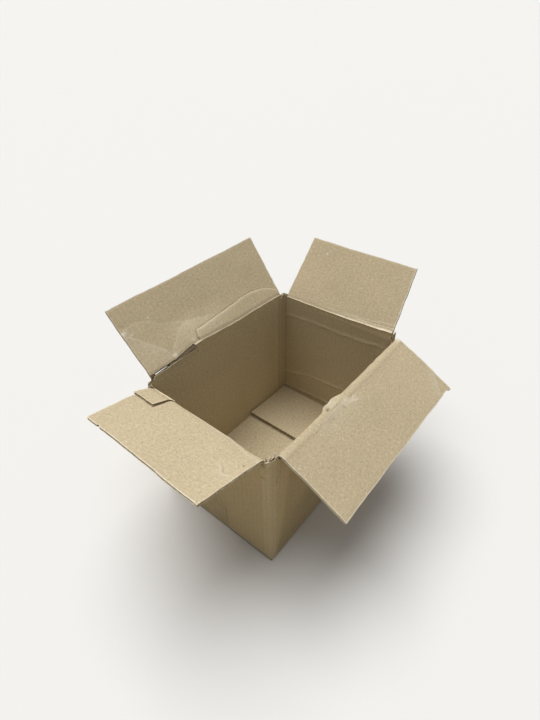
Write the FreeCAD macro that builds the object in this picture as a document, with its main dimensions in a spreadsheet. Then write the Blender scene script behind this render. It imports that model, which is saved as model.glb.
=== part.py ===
import FreeCAD, Part
import math
import os
import re
import Sketcher

# Open cardboard box: one folded sheet of corrugated board, its four top flaps hinged at
# their folds, and the tape that holds the bottom flaps shut. Millimetres, +Z up, +X along
# the long side. The origin is at the middle of the underside.

SIZES = (
    # the folded case
    ("length", 294, "outside, along X"),
    ("width", 208, "outside, along Y"),
    ("height", 213, "from the underside to the folds of the two long flaps"),
    ("corner_round", 5, "outside radius of the four upright folds"),
    ("inner_round", 1, "inside radius of the upright folds"),
    ("bottom_round", 3.6, "outside radius of the bottom folds"),
    # the corrugated board
    ("board", 4, "thickness of the board"),
    ("liner", 0.4, "thickness of each flat paper face"),
    ("medium", 0.35, "thickness of the wavy paper at a crest"),
    ("flank", 0.48, "the wavy paper measured along the fold on its slope"),
    ("flute_pitch", 7.9, "from crest to crest"),
    ("flute_root", 1.5, "narrow side of each channel"),
    ("crush_margin", 10, "flattened band beside each fold, where the channels are closed"),
    ("score_gap", 0.15, "room left at the fold line on each side"),
    ("layer_gap", 0.2, "air between board lying on board"),
    # flaps that close the bottom
    ("bottom_long_depth", 103.5, "long bottom flap, fold to free edge"),
    ("bottom_short_depth", 103.5, "short bottom flap, fold to free edge"),
    ("bottom_end_inset", 1, "ends of the long bottom flaps, in from the short walls"),
    ("bottom_side_gap", 1.5, "ends of the short bottom flaps, in from the long walls"),
    # top flaps
    ("long_flap_depth", 103.5, "front and back flap, fold to free edge"),
    ("short_flap_depth", 103.5, "left and right flap, fold to free edge"),
    ("lid_gap", 0.3, "air between the closed long flaps and the short ones below"),
    ("slot_drop", 2, "how far the corner slots are cut below the short flaps' folds"),
    # how far each end of a flap stands in from the corner, at its fold and at its tip
    ("front_left_root", 14, "torn end"),
    ("front_left_tip", 16, ""),
    ("front_right_root", 4, ""),
    ("front_right_tip", 3, ""),
    ("back_left_root", 9, ""),
    ("back_left_tip", 5, ""),
    ("back_right_root", 14, ""),
    ("back_right_tip", 10.5, ""),
    ("left_front_root", 5.6, ""),
    ("left_front_tip", 5.4, ""),
    ("left_back_root", 11, "end beside the glued tab"),
    ("left_back_tip", 25.5, ""),
    ("right_front_root", 6.5, ""),
    ("right_front_tip", 13.5, ""),
    ("right_back_root", 10.5, ""),
    ("right_back_tip", 14.5, ""),
    # how far each flap stands above the level, opened outwards, in degrees
    ("front_angle", -29.5, ""),
    ("back_angle", 51.5, ""),
    ("left_angle", 16.7, ""),
    ("right_angle", 49.7, ""),
    # glued tab that joins the two ends of the sheet
    ("tab_width", 50, "from the corner along the left wall"),
    ("tab_board", 3, "the tab is pressed thinner than the board"),
    ("tab_reach", 30.5, "how far its end runs out over the left flap"),
    ("tab_slot", 13, "cut beside its end, in from the corner"),
    # tape under the bottom seam
    ("tape_width", 48, ""),
    ("tape_thickness", 0.1, ""),
    ("tape_lap", 50, "how far it runs up each short wall"),
    ("tape_round", 0.8, "radius where it turns up"),
)

# levels and places that follow from the sizes
WALL_BASE = "(board + layer_gap)"
SHORT_FOLD = "(height - board - lid_gap)"
SLOT_FLOOR = "(height - board - lid_gap - slot_drop)"
TAB_BASE = "(2 * board + 2 * layer_gap)"
BEVEL = "(2 * board + 2 * tab_board)"
RISE = "(board - 2 * liner - medium)"
MOUTH = f"(((flute_pitch - 2 * flank - flute_root) * {RISE} - medium * flute_root) / ({RISE} - medium))"

doc = FreeCAD.newDocument("open_cardboard_box")
sheet = doc.addObject("Spreadsheet::Sheet", "Dims")
for line, (alias, number, note) in enumerate(SIZES, start=1):
    sheet.set(f"A{line}", alias)
    sheet.set(f"B{line}", str(number))
    sheet.set(f"C{line}", note)
    sheet.setAlias(f"B{line}", alias)
doc.recompute()
ALIASES = {alias for alias, number, note in SIZES}


def bound(text):
    """An expression in plain size names, with each name pointing at the sheet."""
    return re.sub(r"[a-z_]+", lambda name: "Dims." + name[0] if name[0] in ALIASES else name[0], text)


def value(text):
    return float(sheet.evalExpression(bound(text)))


def new_body(name):
    body = doc.addObject("PartDesign::Body", name)
    body.Label = name
    return body


def origin_feature(body, role):
    return next(feature for feature in body.Origin.OriginFeatures if feature.Role == role)


def new_sketch(body, name, plane, offset=None):
    """A sketch on one of the body's own planes; offset moves it along the plane's normal."""
    sketch = body.newObject("Sketcher::SketchObject", name)
    sketch.AttachmentSupport = [(origin_feature(body, plane), "")]
    sketch.MapMode = "FlatFace"
    if offset:
        sketch.setExpression("AttachmentOffset.Base.z", bound(offset))
    return sketch


def tie(sketch, line, kind, text):
    """Ties one coordinate of a line's start point to an expression."""
    if text == "0":
        axis = -2 if kind == "DistanceX" else -1
        sketch.addConstraint(Sketcher.Constraint("PointOnObject", line, 1, axis))
        return
    index = sketch.addConstraint(Sketcher.Constraint(kind, -1, 1, line, 1, value(text)))
    sketch.setExpression(f"Constraints[{index}]", bound(text))


def polygon(sketch, corners):
    """A closed outline of straight lines, every corner tied to the sheet."""
    places = [FreeCAD.Vector(value(x), value(y), 0) for x, y in corners]
    first = sketch.GeometryCount
    count = len(corners)
    for start, end in zip(places, places[1:] + places[:1]):
        sketch.addGeometry(Part.LineSegment(start, end))
    for i, (x, y) in enumerate(corners):
        before = first + (i - 1) % count
        sketch.addConstraint(Sketcher.Constraint("Coincident", before, 2, first + i, 1))
        tie(sketch, first + i, "DistanceX", x)
        tie(sketch, first + i, "DistanceY", y)


def rectangle(sketch, x_low, x_high, y_low, y_high):
    polygon(sketch, ((x_low, y_low), (x_high, y_low), (x_high, y_high), (x_low, y_high)))


def quarter_shave(sketch, x, y, radius, x_sign):
    """What rounding takes off a lower corner at (x, y) whose board lies towards x_sign."""
    cx, cy, r = value(x), value(y), value(radius)
    corner = FreeCAD.Vector(cx, cy, 0)
    along = FreeCAD.Vector(cx + x_sign * r, cy, 0)
    above = FreeCAD.Vector(cx, cy + r, 0)
    centre = FreeCAD.Vector(cx + x_sign * r, cy + r, 0)
    circle = Part.Circle(centre, FreeCAD.Vector(0, 0, 1), r)
    start, end = (180, 270) if x_sign > 0 else (270, 360)
    level = sketch.addGeometry(Part.LineSegment(corner, along))
    upright = sketch.addGeometry(Part.LineSegment(corner, above))
    arc = sketch.addGeometry(Part.ArcOfCircle(circle, math.radians(start), math.radians(end)))
    arc_at_level = 2 if x_sign > 0 else 1
    sketch.addConstraint(Sketcher.Constraint("Coincident", level, 1, upright, 1))
    sketch.addConstraint(Sketcher.Constraint("Horizontal", level))
    sketch.addConstraint(Sketcher.Constraint("Vertical", upright))
    sketch.addConstraint(Sketcher.Constraint("Tangent", level, 2, arc, arc_at_level))
    sketch.addConstraint(Sketcher.Constraint("Tangent", upright, 2, arc, 3 - arc_at_level))
    index = sketch.addConstraint(Sketcher.Constraint("Radius", arc, r))
    sketch.setExpression(f"Constraints[{index}]", bound(radius))
    tie(sketch, level, "DistanceX", x)
    tie(sketch, level, "DistanceY", y)


def settled(feature):
    """Recomputes and makes sure that the feature came out."""
    doc.recompute()
    if "Up-to-date" not in feature.State:
        raise RuntimeError(f"{feature.Name} failed: {feature.State} {feature.getStatusString()}")
    return feature


def feature_of(body, kind, name, sketch, length, symmetric, backwards):
    feature = body.newObject("PartDesign::" + kind, name)
    feature.Profile = sketch
    if length == "through":
        feature.Type = "ThroughAll"
    else:
        feature.setExpression("Length", bound(length))
    if symmetric:
        feature.SideType = "Symmetric"
    feature.Reversed = backwards
    return settled(feature)


def pad(body, name, sketch, length, symmetric=False, backwards=False):
    return feature_of(body, "Pad", name, sketch, length, symmetric, backwards)


def pocket(body, name, sketch, length="through", symmetric=False, backwards=False):
    """A cut, which has to leave less board than there was."""
    before = body.Shape.Volume
    feature = feature_of(body, "Pocket", name, sketch, length, symmetric, backwards)
    if not feature.Shape.Volume < before:
        raise RuntimeError(f"{name} cuts nothing")
    return feature


def mirrored(body, name, feature, plane):
    copy = body.newObject("PartDesign::Mirrored", name)
    copy.Originals = [feature]
    copy.MirrorPlane = (origin_feature(body, plane), [""])
    body.Tip = copy
    return settled(copy)


def rounded(body, name, is_edge, radius):
    """Rounds the edges of the body for which is_edge(start, end) holds."""
    base = body.Tip
    edges = []
    for number, edge in enumerate(body.Shape.Edges, start=1):
        if len(edge.Vertexes) == 2 and is_edge(edge.Vertexes[0].Point, edge.Vertexes[1].Point):
            edges.append(f"Edge{number}")
    fillet = body.newObject("PartDesign::Fillet", name)
    fillet.Base = (base, edges)
    fillet.setExpression("Radius", bound(radius))
    body.Tip = fillet
    return settled(fillet)


def near(a, b):
    return abs(a - b) < 0.001


def flute_channels(sketch, centre, level):
    """One channel above the wavy paper and the next one below it; level is the board's outer face."""
    upper_mouth = f"{level} + board - liner"
    upper_root = f"{level} + liner + medium"
    lower_mouth = f"{level} + liner"
    lower_root = f"{level} + board - liner - medium"
    next_centre = f"{centre} + flute_pitch / 2"
    for middle, mouth, root in ((centre, upper_mouth, upper_root), (next_centre, lower_mouth, lower_root)):
        polygon(sketch, (
            (f"{middle} - {MOUTH} / 2", mouth),
            (f"{middle} + {MOUTH} / 2", mouth),
            (f"{middle} + flute_root / 2", root),
            (f"{middle} - flute_root / 2", root),
        ))


def flute_row(body, name, feature, sketch, span):
    """Repeats a pair of channels at the board's pitch over a span."""
    row = body.newObject("PartDesign::LinearPattern", name)
    row.Originals = [feature]
    row.Direction = (sketch, ["H_Axis"])
    row.Mode = "Spacing"
    row.setExpression("Offset", bound("flute_pitch"))
    row.setExpression("Occurrences", bound(f"floor(({span}) / flute_pitch)"))
    body.Tip = row
    return settled(row)


# The case: four walls, four bottom flaps and the glued tab, all one sheet.

case = new_body("box_body")

walls_plan = new_sketch(case, "WallsPlan", "XY_Plane", WALL_BASE)
rectangle(walls_plan, "-length / 2", "length / 2", "-width / 2", "width / 2")
rectangle(walls_plan, "-length / 2 + board", "length / 2 - board", "-width / 2 + board", "width / 2 - board")
pad(case, "Walls", walls_plan, f"height - {WALL_BASE}")


def upright_at(x, y):
    def test(a, b):
        same_place = near(a.x, b.x) and near(a.y, b.y) and not near(a.z, b.z)
        return same_place and near(abs(a.x), x) and near(abs(a.y), y)
    return test


half_length, half_width, thick = value("length / 2"), value("width / 2"), value("board")
rounded(case, "UprightFolds", upright_at(half_length, half_width), "corner_round")
rounded(case, "UprightFoldsInside", upright_at(half_length - thick, half_width - thick), "inner_round")

# long bottom flaps: the wall turns under and runs in to the seam
long_fold = new_sketch(case, "LongFoldSection", "YZ_Plane")
polygon(long_fold, (
    ("width / 2", f"{WALL_BASE} + layer_gap"),
    ("width / 2", "0"),
    ("width / 2 - bottom_long_depth", "0"),
    ("width / 2 - bottom_long_depth", "board"),
    ("width / 2 - board", "board"),
    ("width / 2 - board", f"{WALL_BASE} + layer_gap"),
))
long_flap = pad(case, "LongBottomFlap", long_fold, "length - 2 * bottom_end_inset", symmetric=True)
mirrored(case, "LongBottomFlaps", long_flap, "XZ_Plane")
rounded(case, "LongFolds", lambda a, b: near(a.z, 0) and near(b.z, 0) and near(abs(a.y), half_width)
        and near(a.y, b.y), "bottom_round")

# short bottom flaps: one board higher, lying on the long ones
short_fold = new_sketch(case, "ShortFoldSection", "XZ_Plane")
polygon(short_fold, (
    ("length / 2", f"{WALL_BASE} + 2 * board"),
    ("length / 2", WALL_BASE),
    ("length / 2 - bottom_short_depth", WALL_BASE),
    ("length / 2 - bottom_short_depth", f"{WALL_BASE} + board"),
    ("length / 2 - board", f"{WALL_BASE} + board"),
    ("length / 2 - board", f"{WALL_BASE} + 2 * board"),
))
short_flap = pad(case, "ShortBottomFlap", short_fold, "width - 2 * board - 2 * bottom_side_gap", symmetric=True)
mirrored(case, "ShortBottomFlaps", short_flap, "YZ_Plane")
short_shave = new_sketch(case, "ShortFoldShave", "XZ_Plane")
quarter_shave(short_shave, "length / 2", WALL_BASE, "bottom_round", -1)
quarter_shave(short_shave, "-length / 2", WALL_BASE, "bottom_round", 1)
pocket(case, "ShortFolds", short_shave, "width - 2 * corner_round", symmetric=True)

# open flutes along the free edges of the short bottom flaps
mouths = new_sketch(case, "BottomFluteSection", "YZ_Plane", "length / 2 - crush_margin")
flute_channels(mouths, "-width / 2 + board + bottom_side_gap + flute_pitch / 2", WALL_BASE)
channels = pocket(case, "BottomFlute", mouths, "length - 2 * crush_margin")
flute_row(case, "BottomFlutes", channels, mouths, "width - 2 * board - 2 * bottom_side_gap")

# glued tab, folded in from the back wall and stuck to the inside of the left wall
tab_plan = new_sketch(case, "TabPlan", "XY_Plane", TAB_BASE)
rectangle(tab_plan, "-length / 2 + board / 2", "-length / 2 + board + tab_board",
          "width / 2 - tab_width", "width / 2 - board / 2")
pad(case, "GluedTab", tab_plan, f"height - {TAB_BASE}")

# the short walls end lower than the long ones, so that their flaps close underneath
lower_walls = new_sketch(case, "ShortWallTops", "XZ_Plane")
for near_x, far_x in (("-length / 2 - board", "-length / 2 + board + tab_board"),
                      ("length / 2 - board", "length / 2 + board")):
    rectangle(lower_walls, near_x, far_x, SHORT_FOLD, "height + board")
pocket(case, "ShortWallTop", lower_walls, "width - 2 * board", symmetric=True)


def end_slots(wall, plane, offset, half, low, high):
    """Cuts one wall's top down to the slots' floor at both ends of its flap."""
    sketch = new_sketch(case, wall + "SlotOutline", plane, offset)
    rectangle(sketch, f"-{half} - board", f"-{half} + {low}", SLOT_FLOOR, "height + board")
    rectangle(sketch, f"{half} - {high}", f"{half} + board", SLOT_FLOOR, "height + board")
    pocket(case, wall + "Slots", sketch, "2 * board")


end_slots("Front", "XZ_Plane", "width / 2 + board", "length / 2", "front_left_root", "front_right_root")
end_slots("Back", "XZ_Plane", "-width / 2 + board", "length / 2", "back_left_root", "back_right_root")
end_slots("Left", "YZ_Plane", "-length / 2 + board", "width / 2", "left_front_root", "left_back_root")
end_slots("Right", "YZ_Plane", "length / 2 + board", "width / 2", "right_front_root", "right_back_root")


def rim_bevel(name, plane, half, fold, offset=None):
    """Crushes both walls' tops to a slope that falls inwards from the fold line."""
    sketch = new_sketch(case, name + "Section", plane, offset)
    for side in ("", "-"):
        inward = "-" if side == "" else "+"
        polygon(sketch, (
            (f"{side}({half} + board)", f"{fold} + {BEVEL}"),
            (f"{side}({half} + board)", f"{fold} - score_gap"),
            (f"{side}{half}", f"{fold} - score_gap"),
            (f"{side}{half} {inward} {BEVEL}", f"{fold} - score_gap - {BEVEL}"),
            (f"{side}{half} {inward} {BEVEL}", f"{fold} + {BEVEL}"),
        ))
    return sketch


long_bevel = rim_bevel("LongRim", "YZ_Plane", "width / 2", "height", "length / 2 - board")
pocket(case, "LongRimFolds", long_bevel, "length - 2 * board - tab_board")
short_bevel = rim_bevel("ShortRim", "XZ_Plane", "length / 2", SHORT_FOLD)
pocket(case, "ShortRimFolds", short_bevel, "width - 2 * board", symmetric=True)

# the tape is pressed flush into the board
recess = new_sketch(case, "TapeRecessSection", "XZ_Plane")
polygon(recess, (
    ("-length / 2 - board", "tape_lap"),
    ("-length / 2 - board", "-board"),
    ("length / 2 + board", "-board"),
    ("length / 2 + board", "tape_lap"),
    ("length / 2 - tape_thickness", "tape_lap"),
    ("length / 2 - tape_thickness", "tape_thickness"),
    ("-length / 2 + tape_thickness", "tape_thickness"),
    ("-length / 2 + tape_thickness", "tape_lap"),
))
pocket(case, "TapeRecess", recess, "tape_width", symmetric=True)


# The top flaps. Each is drawn level, its fold on the X axis and its free edge towards +Y,
# with its inner face up, and is then turned about its fold.

def top_flap(name, half, depth, low, high, fold_place, turn, angle):
    """low and high are the (root, tip) insets at the flap's -X and +X ends as drawn."""
    body = new_body(name)
    plan = new_sketch(body, name + "_plan", "XY_Plane")
    polygon(plan, (
        (f"-{half} + {low[0]}", "score_gap"),
        (f"{half} - {high[0]}", "score_gap"),
        (f"{half} - {high[1]}", depth),
        (f"-{half} + {low[1]}", depth),
    ))
    pad(body, name + "_sheet", plan, "board")
    return finish_flap(body, name, half, depth, low, high, fold_place, turn, angle)


def finish_flap(body, name, half, depth, low, high, fold_place, turn, angle):
    """Bevels the root, opens the flutes and sets the flap at its angle."""
    root = new_sketch(body, name + "_root", "YZ_Plane")
    polygon(root, (
        ("score_gap", "0"),
        (f"score_gap + {BEVEL}", BEVEL),
        (f"-{BEVEL}", BEVEL),
        (f"-{BEVEL}", "0"),
    ))
    pocket(body, name + "_fold", root, symmetric=True)
    section = new_sketch(body, name + "_section", "XZ_Plane", "-crush_margin")
    low_edge = f"min({low[0]}; {low[1]})"
    high_edge = f"min({high[0]}; {high[1]})"
    flute_channels(section, f"-{half} + {low_edge} + flute_pitch / 2", "0")
    channels = pocket(body, name + "_flute", section)
    flute_row(body, name + "_flutes", channels, section, f"2 * {half} - {low_edge} - {high_edge}")
    turned = FreeCAD.Rotation(FreeCAD.Vector(0, 0, 1), turn)
    tilted = FreeCAD.Rotation(FreeCAD.Vector(1, 0, 0), value(angle))
    place = FreeCAD.Vector(*(value(text) for text in fold_place))
    body.Placement = FreeCAD.Placement(place, turned * tilted)
    return body


front_flap = top_flap("top_flap_front", "length / 2", "long_flap_depth",
                      ("front_right_root", "front_right_tip"), ("front_left_root", "front_left_tip"),
                      ("0", "-width / 2", "height"), 180, "front_angle")
back_flap = top_flap("top_flap_back", "length / 2", "long_flap_depth",
                     ("back_left_root", "back_left_tip"), ("back_right_root", "back_right_tip"),
                     ("0", "width / 2", "height"), 0, "back_angle")
right_flap = top_flap("top_flap_right", "width / 2", "short_flap_depth",
                      ("right_back_root", "right_back_tip"), ("right_front_root", "right_front_tip"),
                      ("length / 2", "0", SHORT_FOLD), -90, "right_angle")
left_flap = top_flap("top_flap_left", "width / 2", "short_flap_depth",
                     ("left_front_root", "left_front_tip"), ("left_back_root", "left_back_tip"),
                     ("-length / 2", "0", SHORT_FOLD), 90, "left_angle")

# the glued tab's end lies on the left flap and moves with it
tab_end = new_sketch(left_flap, "TabEndSection", "YZ_Plane", "width / 2 - tab_width")
polygon(tab_end, (
    ("score_gap + board", "board"),
    ("tab_reach", "board"),
    ("tab_reach", "board + tab_board"),
    ("score_gap + board + tab_board", "board + tab_board"),
))
pad(left_flap, "TabEnd", tab_end, "tab_width - tab_slot")

# The tape, turned up at both short walls.

tape = new_body("bottom_tape")
strip = new_sketch(tape, "TapeSection", "XZ_Plane")
polygon(strip, (
    ("-length / 2", "tape_lap"),
    ("-length / 2", "0"),
    ("length / 2", "0"),
    ("length / 2", "tape_lap"),
    ("length / 2 - tape_thickness", "tape_lap"),
    ("length / 2 - tape_thickness", "tape_thickness"),
    ("-length / 2 + tape_thickness", "tape_thickness"),
    ("-length / 2 + tape_thickness", "tape_lap"),
))
pad(tape, "Strip", strip, "tape_width", symmetric=True)


def turn_at(x, z):
    def test(a, b):
        across = near(a.x, b.x) and near(a.z, b.z) and not near(a.y, b.y)
        return across and near(abs(a.x), x) and near(a.z, z)
    return test


film = value("tape_thickness")
rounded(tape, "TurnOutside", turn_at(half_length, 0), "tape_round")
rounded(tape, "TurnInside", turn_at(half_length - film, film), "tape_round - tape_thickness")

SUBPARTS = (case, front_flap, back_flap, left_flap, right_flap, tape)

doc.recompute()
for thing in doc.Objects:
    if "Invalid" in thing.State or "Error" in thing.State:
        raise RuntimeError(f"{thing.Name} failed: {thing.State}")
for piece in SUBPARTS:
    if piece.Shape.isNull() or not piece.Shape.isValid():
        raise RuntimeError(f"{piece.Label} has no valid shape")

os.makedirs("parts", exist_ok=True)
for piece in SUBPARTS:
    piece.Shape.exportStep(os.path.join("parts", piece.Label + ".step"))
    print(piece.Label, len(piece.Shape.Solids), "solid,", round(piece.Shape.Volume / 1000, 1), "cm3")
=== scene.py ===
import math
import bpy
import numpy as np
from mathutils import Matrix, Vector


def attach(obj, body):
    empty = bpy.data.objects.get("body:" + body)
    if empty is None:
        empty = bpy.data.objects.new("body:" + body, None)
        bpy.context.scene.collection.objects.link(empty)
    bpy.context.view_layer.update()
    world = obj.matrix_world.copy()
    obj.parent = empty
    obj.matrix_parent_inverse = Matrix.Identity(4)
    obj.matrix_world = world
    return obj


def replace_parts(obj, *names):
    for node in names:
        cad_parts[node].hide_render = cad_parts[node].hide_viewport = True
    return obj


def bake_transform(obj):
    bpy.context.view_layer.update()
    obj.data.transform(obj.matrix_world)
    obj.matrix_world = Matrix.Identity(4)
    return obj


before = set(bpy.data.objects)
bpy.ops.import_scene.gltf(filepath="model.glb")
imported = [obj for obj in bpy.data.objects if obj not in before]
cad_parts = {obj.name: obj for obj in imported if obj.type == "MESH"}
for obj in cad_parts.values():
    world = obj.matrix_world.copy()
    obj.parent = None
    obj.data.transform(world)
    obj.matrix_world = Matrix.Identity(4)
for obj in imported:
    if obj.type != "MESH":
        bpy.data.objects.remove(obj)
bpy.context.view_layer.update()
print("frame loaded")

mm = 0.001  # every size below is in millimetres; meshes are made in metres

board = {"thick": 4.0, "liner": 0.45, "medium": 0.3, "pitch": 7.9, "cell": 1.15}
# how far the wavy paper swings from the middle of the board
waveSwing = board["thick"] / 2 - board["liner"] - board["medium"] / 2
# flaps that lean up more than this, in degrees, have their fold pressed into a bead on the wall
steep = 40
# the rise that a fold takes up before the board beyond it buckles
foldGive = 1.64
# how far from the fold the shape of the free edge starts, and these others end
fades = {"freeEdge": 40, "buckle": 48, "outer": 14, "middle": 9, "warp": 25, "sag": 45}
case = {
    "length": 294.0, "width": 208.0, "longFold": 213.0, "shortFold": 208.7, "slotFloor": 206.7,
    "outerRound": 5.0, "innerRound": 1.0, "bottomRound": 3.6, "scoreGap": 0.15,
    "longBase": 4.2, "shortBase": 7.8, "cell": 2.3, "warp": 0.5, "ripple": 0.05, "pit": 5.0,
    # how far the torn board stands over the slots, at the corners from front-right round to near
    "stand": (16.5, 4.0, 3.0, 2.0),
    # a torn strip taller than this stands on one side of its corner only
    "tallStrip": 10,
    # how much thinner the crushed board is at the folds of the two flaps that lean outwards
    "taper": {"front": 10.5, "left": 7.5},
    # the painted shade on the front wall starts at these x, at these heights; rightShade is shade painted
    # on the right wall's inside
    "paintedShade": 0.24, "paintedShadeFrom": [(6, -136), (47, -126), (141, -112), (206, -106)], "rightShade": 0.16,
}

# Every flap is drawn level: u runs along its fold, d from the fold to the free edge, w through the
# board with the inner face on top. low and high are how far each end stands in at the fold and tip.
# rise is how far the crushed fold stands over the score, along u; torn is how much of it has come
# off the wall; sag is how far out and up the fold lies, along u; the three rim numbers are how pale the
# low end, the high end and the free edge are, partly from wear and partly a painted highlight; shade
# is a painted shade laid evenly over the flap; lift is how much of the rise buckles the board beyond the
# fold.
flaps = {
    "front": {
        "body": "flap_front", "node": "top_flap_front", "half": 147.0, "depth": 103.5,
        "low": (4.0, 3.0), "high": (14.0, 16.0), "fold": (0.0, -104.0, 213.0), "turn": 180, "angle": -29.5,
        "crush": 3.0, "crushWidth": 8.0, "bend": (0.46, 0.9), "edgeFill": (0.35, 0.45), "warp": 0.8,
        "rise": [(-143, 0.0), (4, 0.0), (10, 1.0), (17, 2.4), (25, 3.3), (32, 2.7), (38, 3.4), (43, 2.4),
                 (46, 0.4), (48, 0.0), (143, 0.0)],
        "torn": [(-200, 0.0), (124, 0.0), (128, 0.5), (131, 0.8), (200, 0.8)], "skew": 0.0, "lift": 0.0,
        "sag": [(-147, 2.0, -2.5), (147, 2.0, -2.5)], "worn": (0.8, 0.6, 0.7), "shade": 0.1, "seed": 11,
    },
    "back": {
        "body": "flap_back", "node": "top_flap_back", "half": 147.0, "depth": 103.5,
        "low": (9.0, 5.0), "high": (14.0, 10.5), "fold": (0.0, 104.0, 213.0), "turn": 0, "angle": 51.5,
        "crush": 1.2, "crushWidth": 4.0, "bend": (-4.8, 1.8), "edgeFill": (0.12, 0.15), "warp": 0.7,
        "rise": [(-138, 6.2), (-107, 6.2), (-92, 6.9), (-66, 12.0), (-55, 12.8), (-43, 12.4), (-18, 9.8),
                 (5, 7.5),
                 (20, 6.4), (45, 5.6), (66, 5.2), (93, 4.1), (118, 2.9), (133, 1.6)], "lift": 0.62,
        "torn": [(-200, 0.97), (-61, 0.97), (-57, 0.3), (-55, 0.0), (200, 0.0)], "slit": (-132.0, -108.0),
        "skew": 0.0, "worn": (0.35, 1.0, 0.5), "shade": 0.0, "seed": 23,
    },
    "left": {
        "body": "flap_left", "node": "top_flap_left", "half": 104.0, "depth": 103.5,
        "low": (8.4, 5.4), "high": (11.0, 23.5), "fold": (-147.0, 0.0, 208.7), "turn": 90, "angle": 16.7,
        "sag": [(-98, 0.6, -2.0), (-69, 1.0, -3.2), (-45, 0.2, -0.5), (50, 0.0, -0.5), (58, 0.8, -3.0),
                (98, 0.8, -3.0)],
        "crush": 1.6, "crushWidth": 7.0, "bend": (-1.5, 3.0), "edgeFill": (0.35, 0.3), "warp": 0.6,
        "rise": [(-98, 0.2), (-60, 0.5), (20, 0.3), (93, 0.0)], "torn": [(-200, 0.0), (200, 0.0)],
        "skew": 3.6, "lift": 0.0, "worn": (0.3, 0.4, 0.8), "shade": 0.0, "seed": 37,
    },
    "right": {
        "body": "flap_right", "node": "top_flap_right", "half": 104.0, "depth": 103.5,
        "low": (10.5, 14.5), "high": (6.5, 13.5), "fold": (147.0, 0.0, 208.7), "turn": -90, "angle": 49.7,
        "crush": 1.2, "crushWidth": 4.0, "bend": (-4.8, 1.8), "edgeFill": (0.2, 1.3), "warp": 0.6,
        "rise": [(-94, 0.6), (-20, 2.0), (22, 3.6), (60, 6.2), (98, 9.6)],
        "torn": [(-200, 0.0), (200, 0.0)], "skew": 0.0, "lift": 0.0, "worn": (0.35, 1.0, 0.8), "shade": 0.0,
        "seed": 41,
    },
}


def dent(at, radii, height, light=0.0, dark=0.0):
    return {"kind": "dent", "at": at, "radii": radii, "height": height, "light": light, "dark": dark}


def drawn(kind, points, height, width, light=0.0, dark=0.0, fade=1.0):
    return {"kind": kind, "points": points, "height": height, "width": width, "light": light, "dark": dark,
            "fade": fade}
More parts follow.
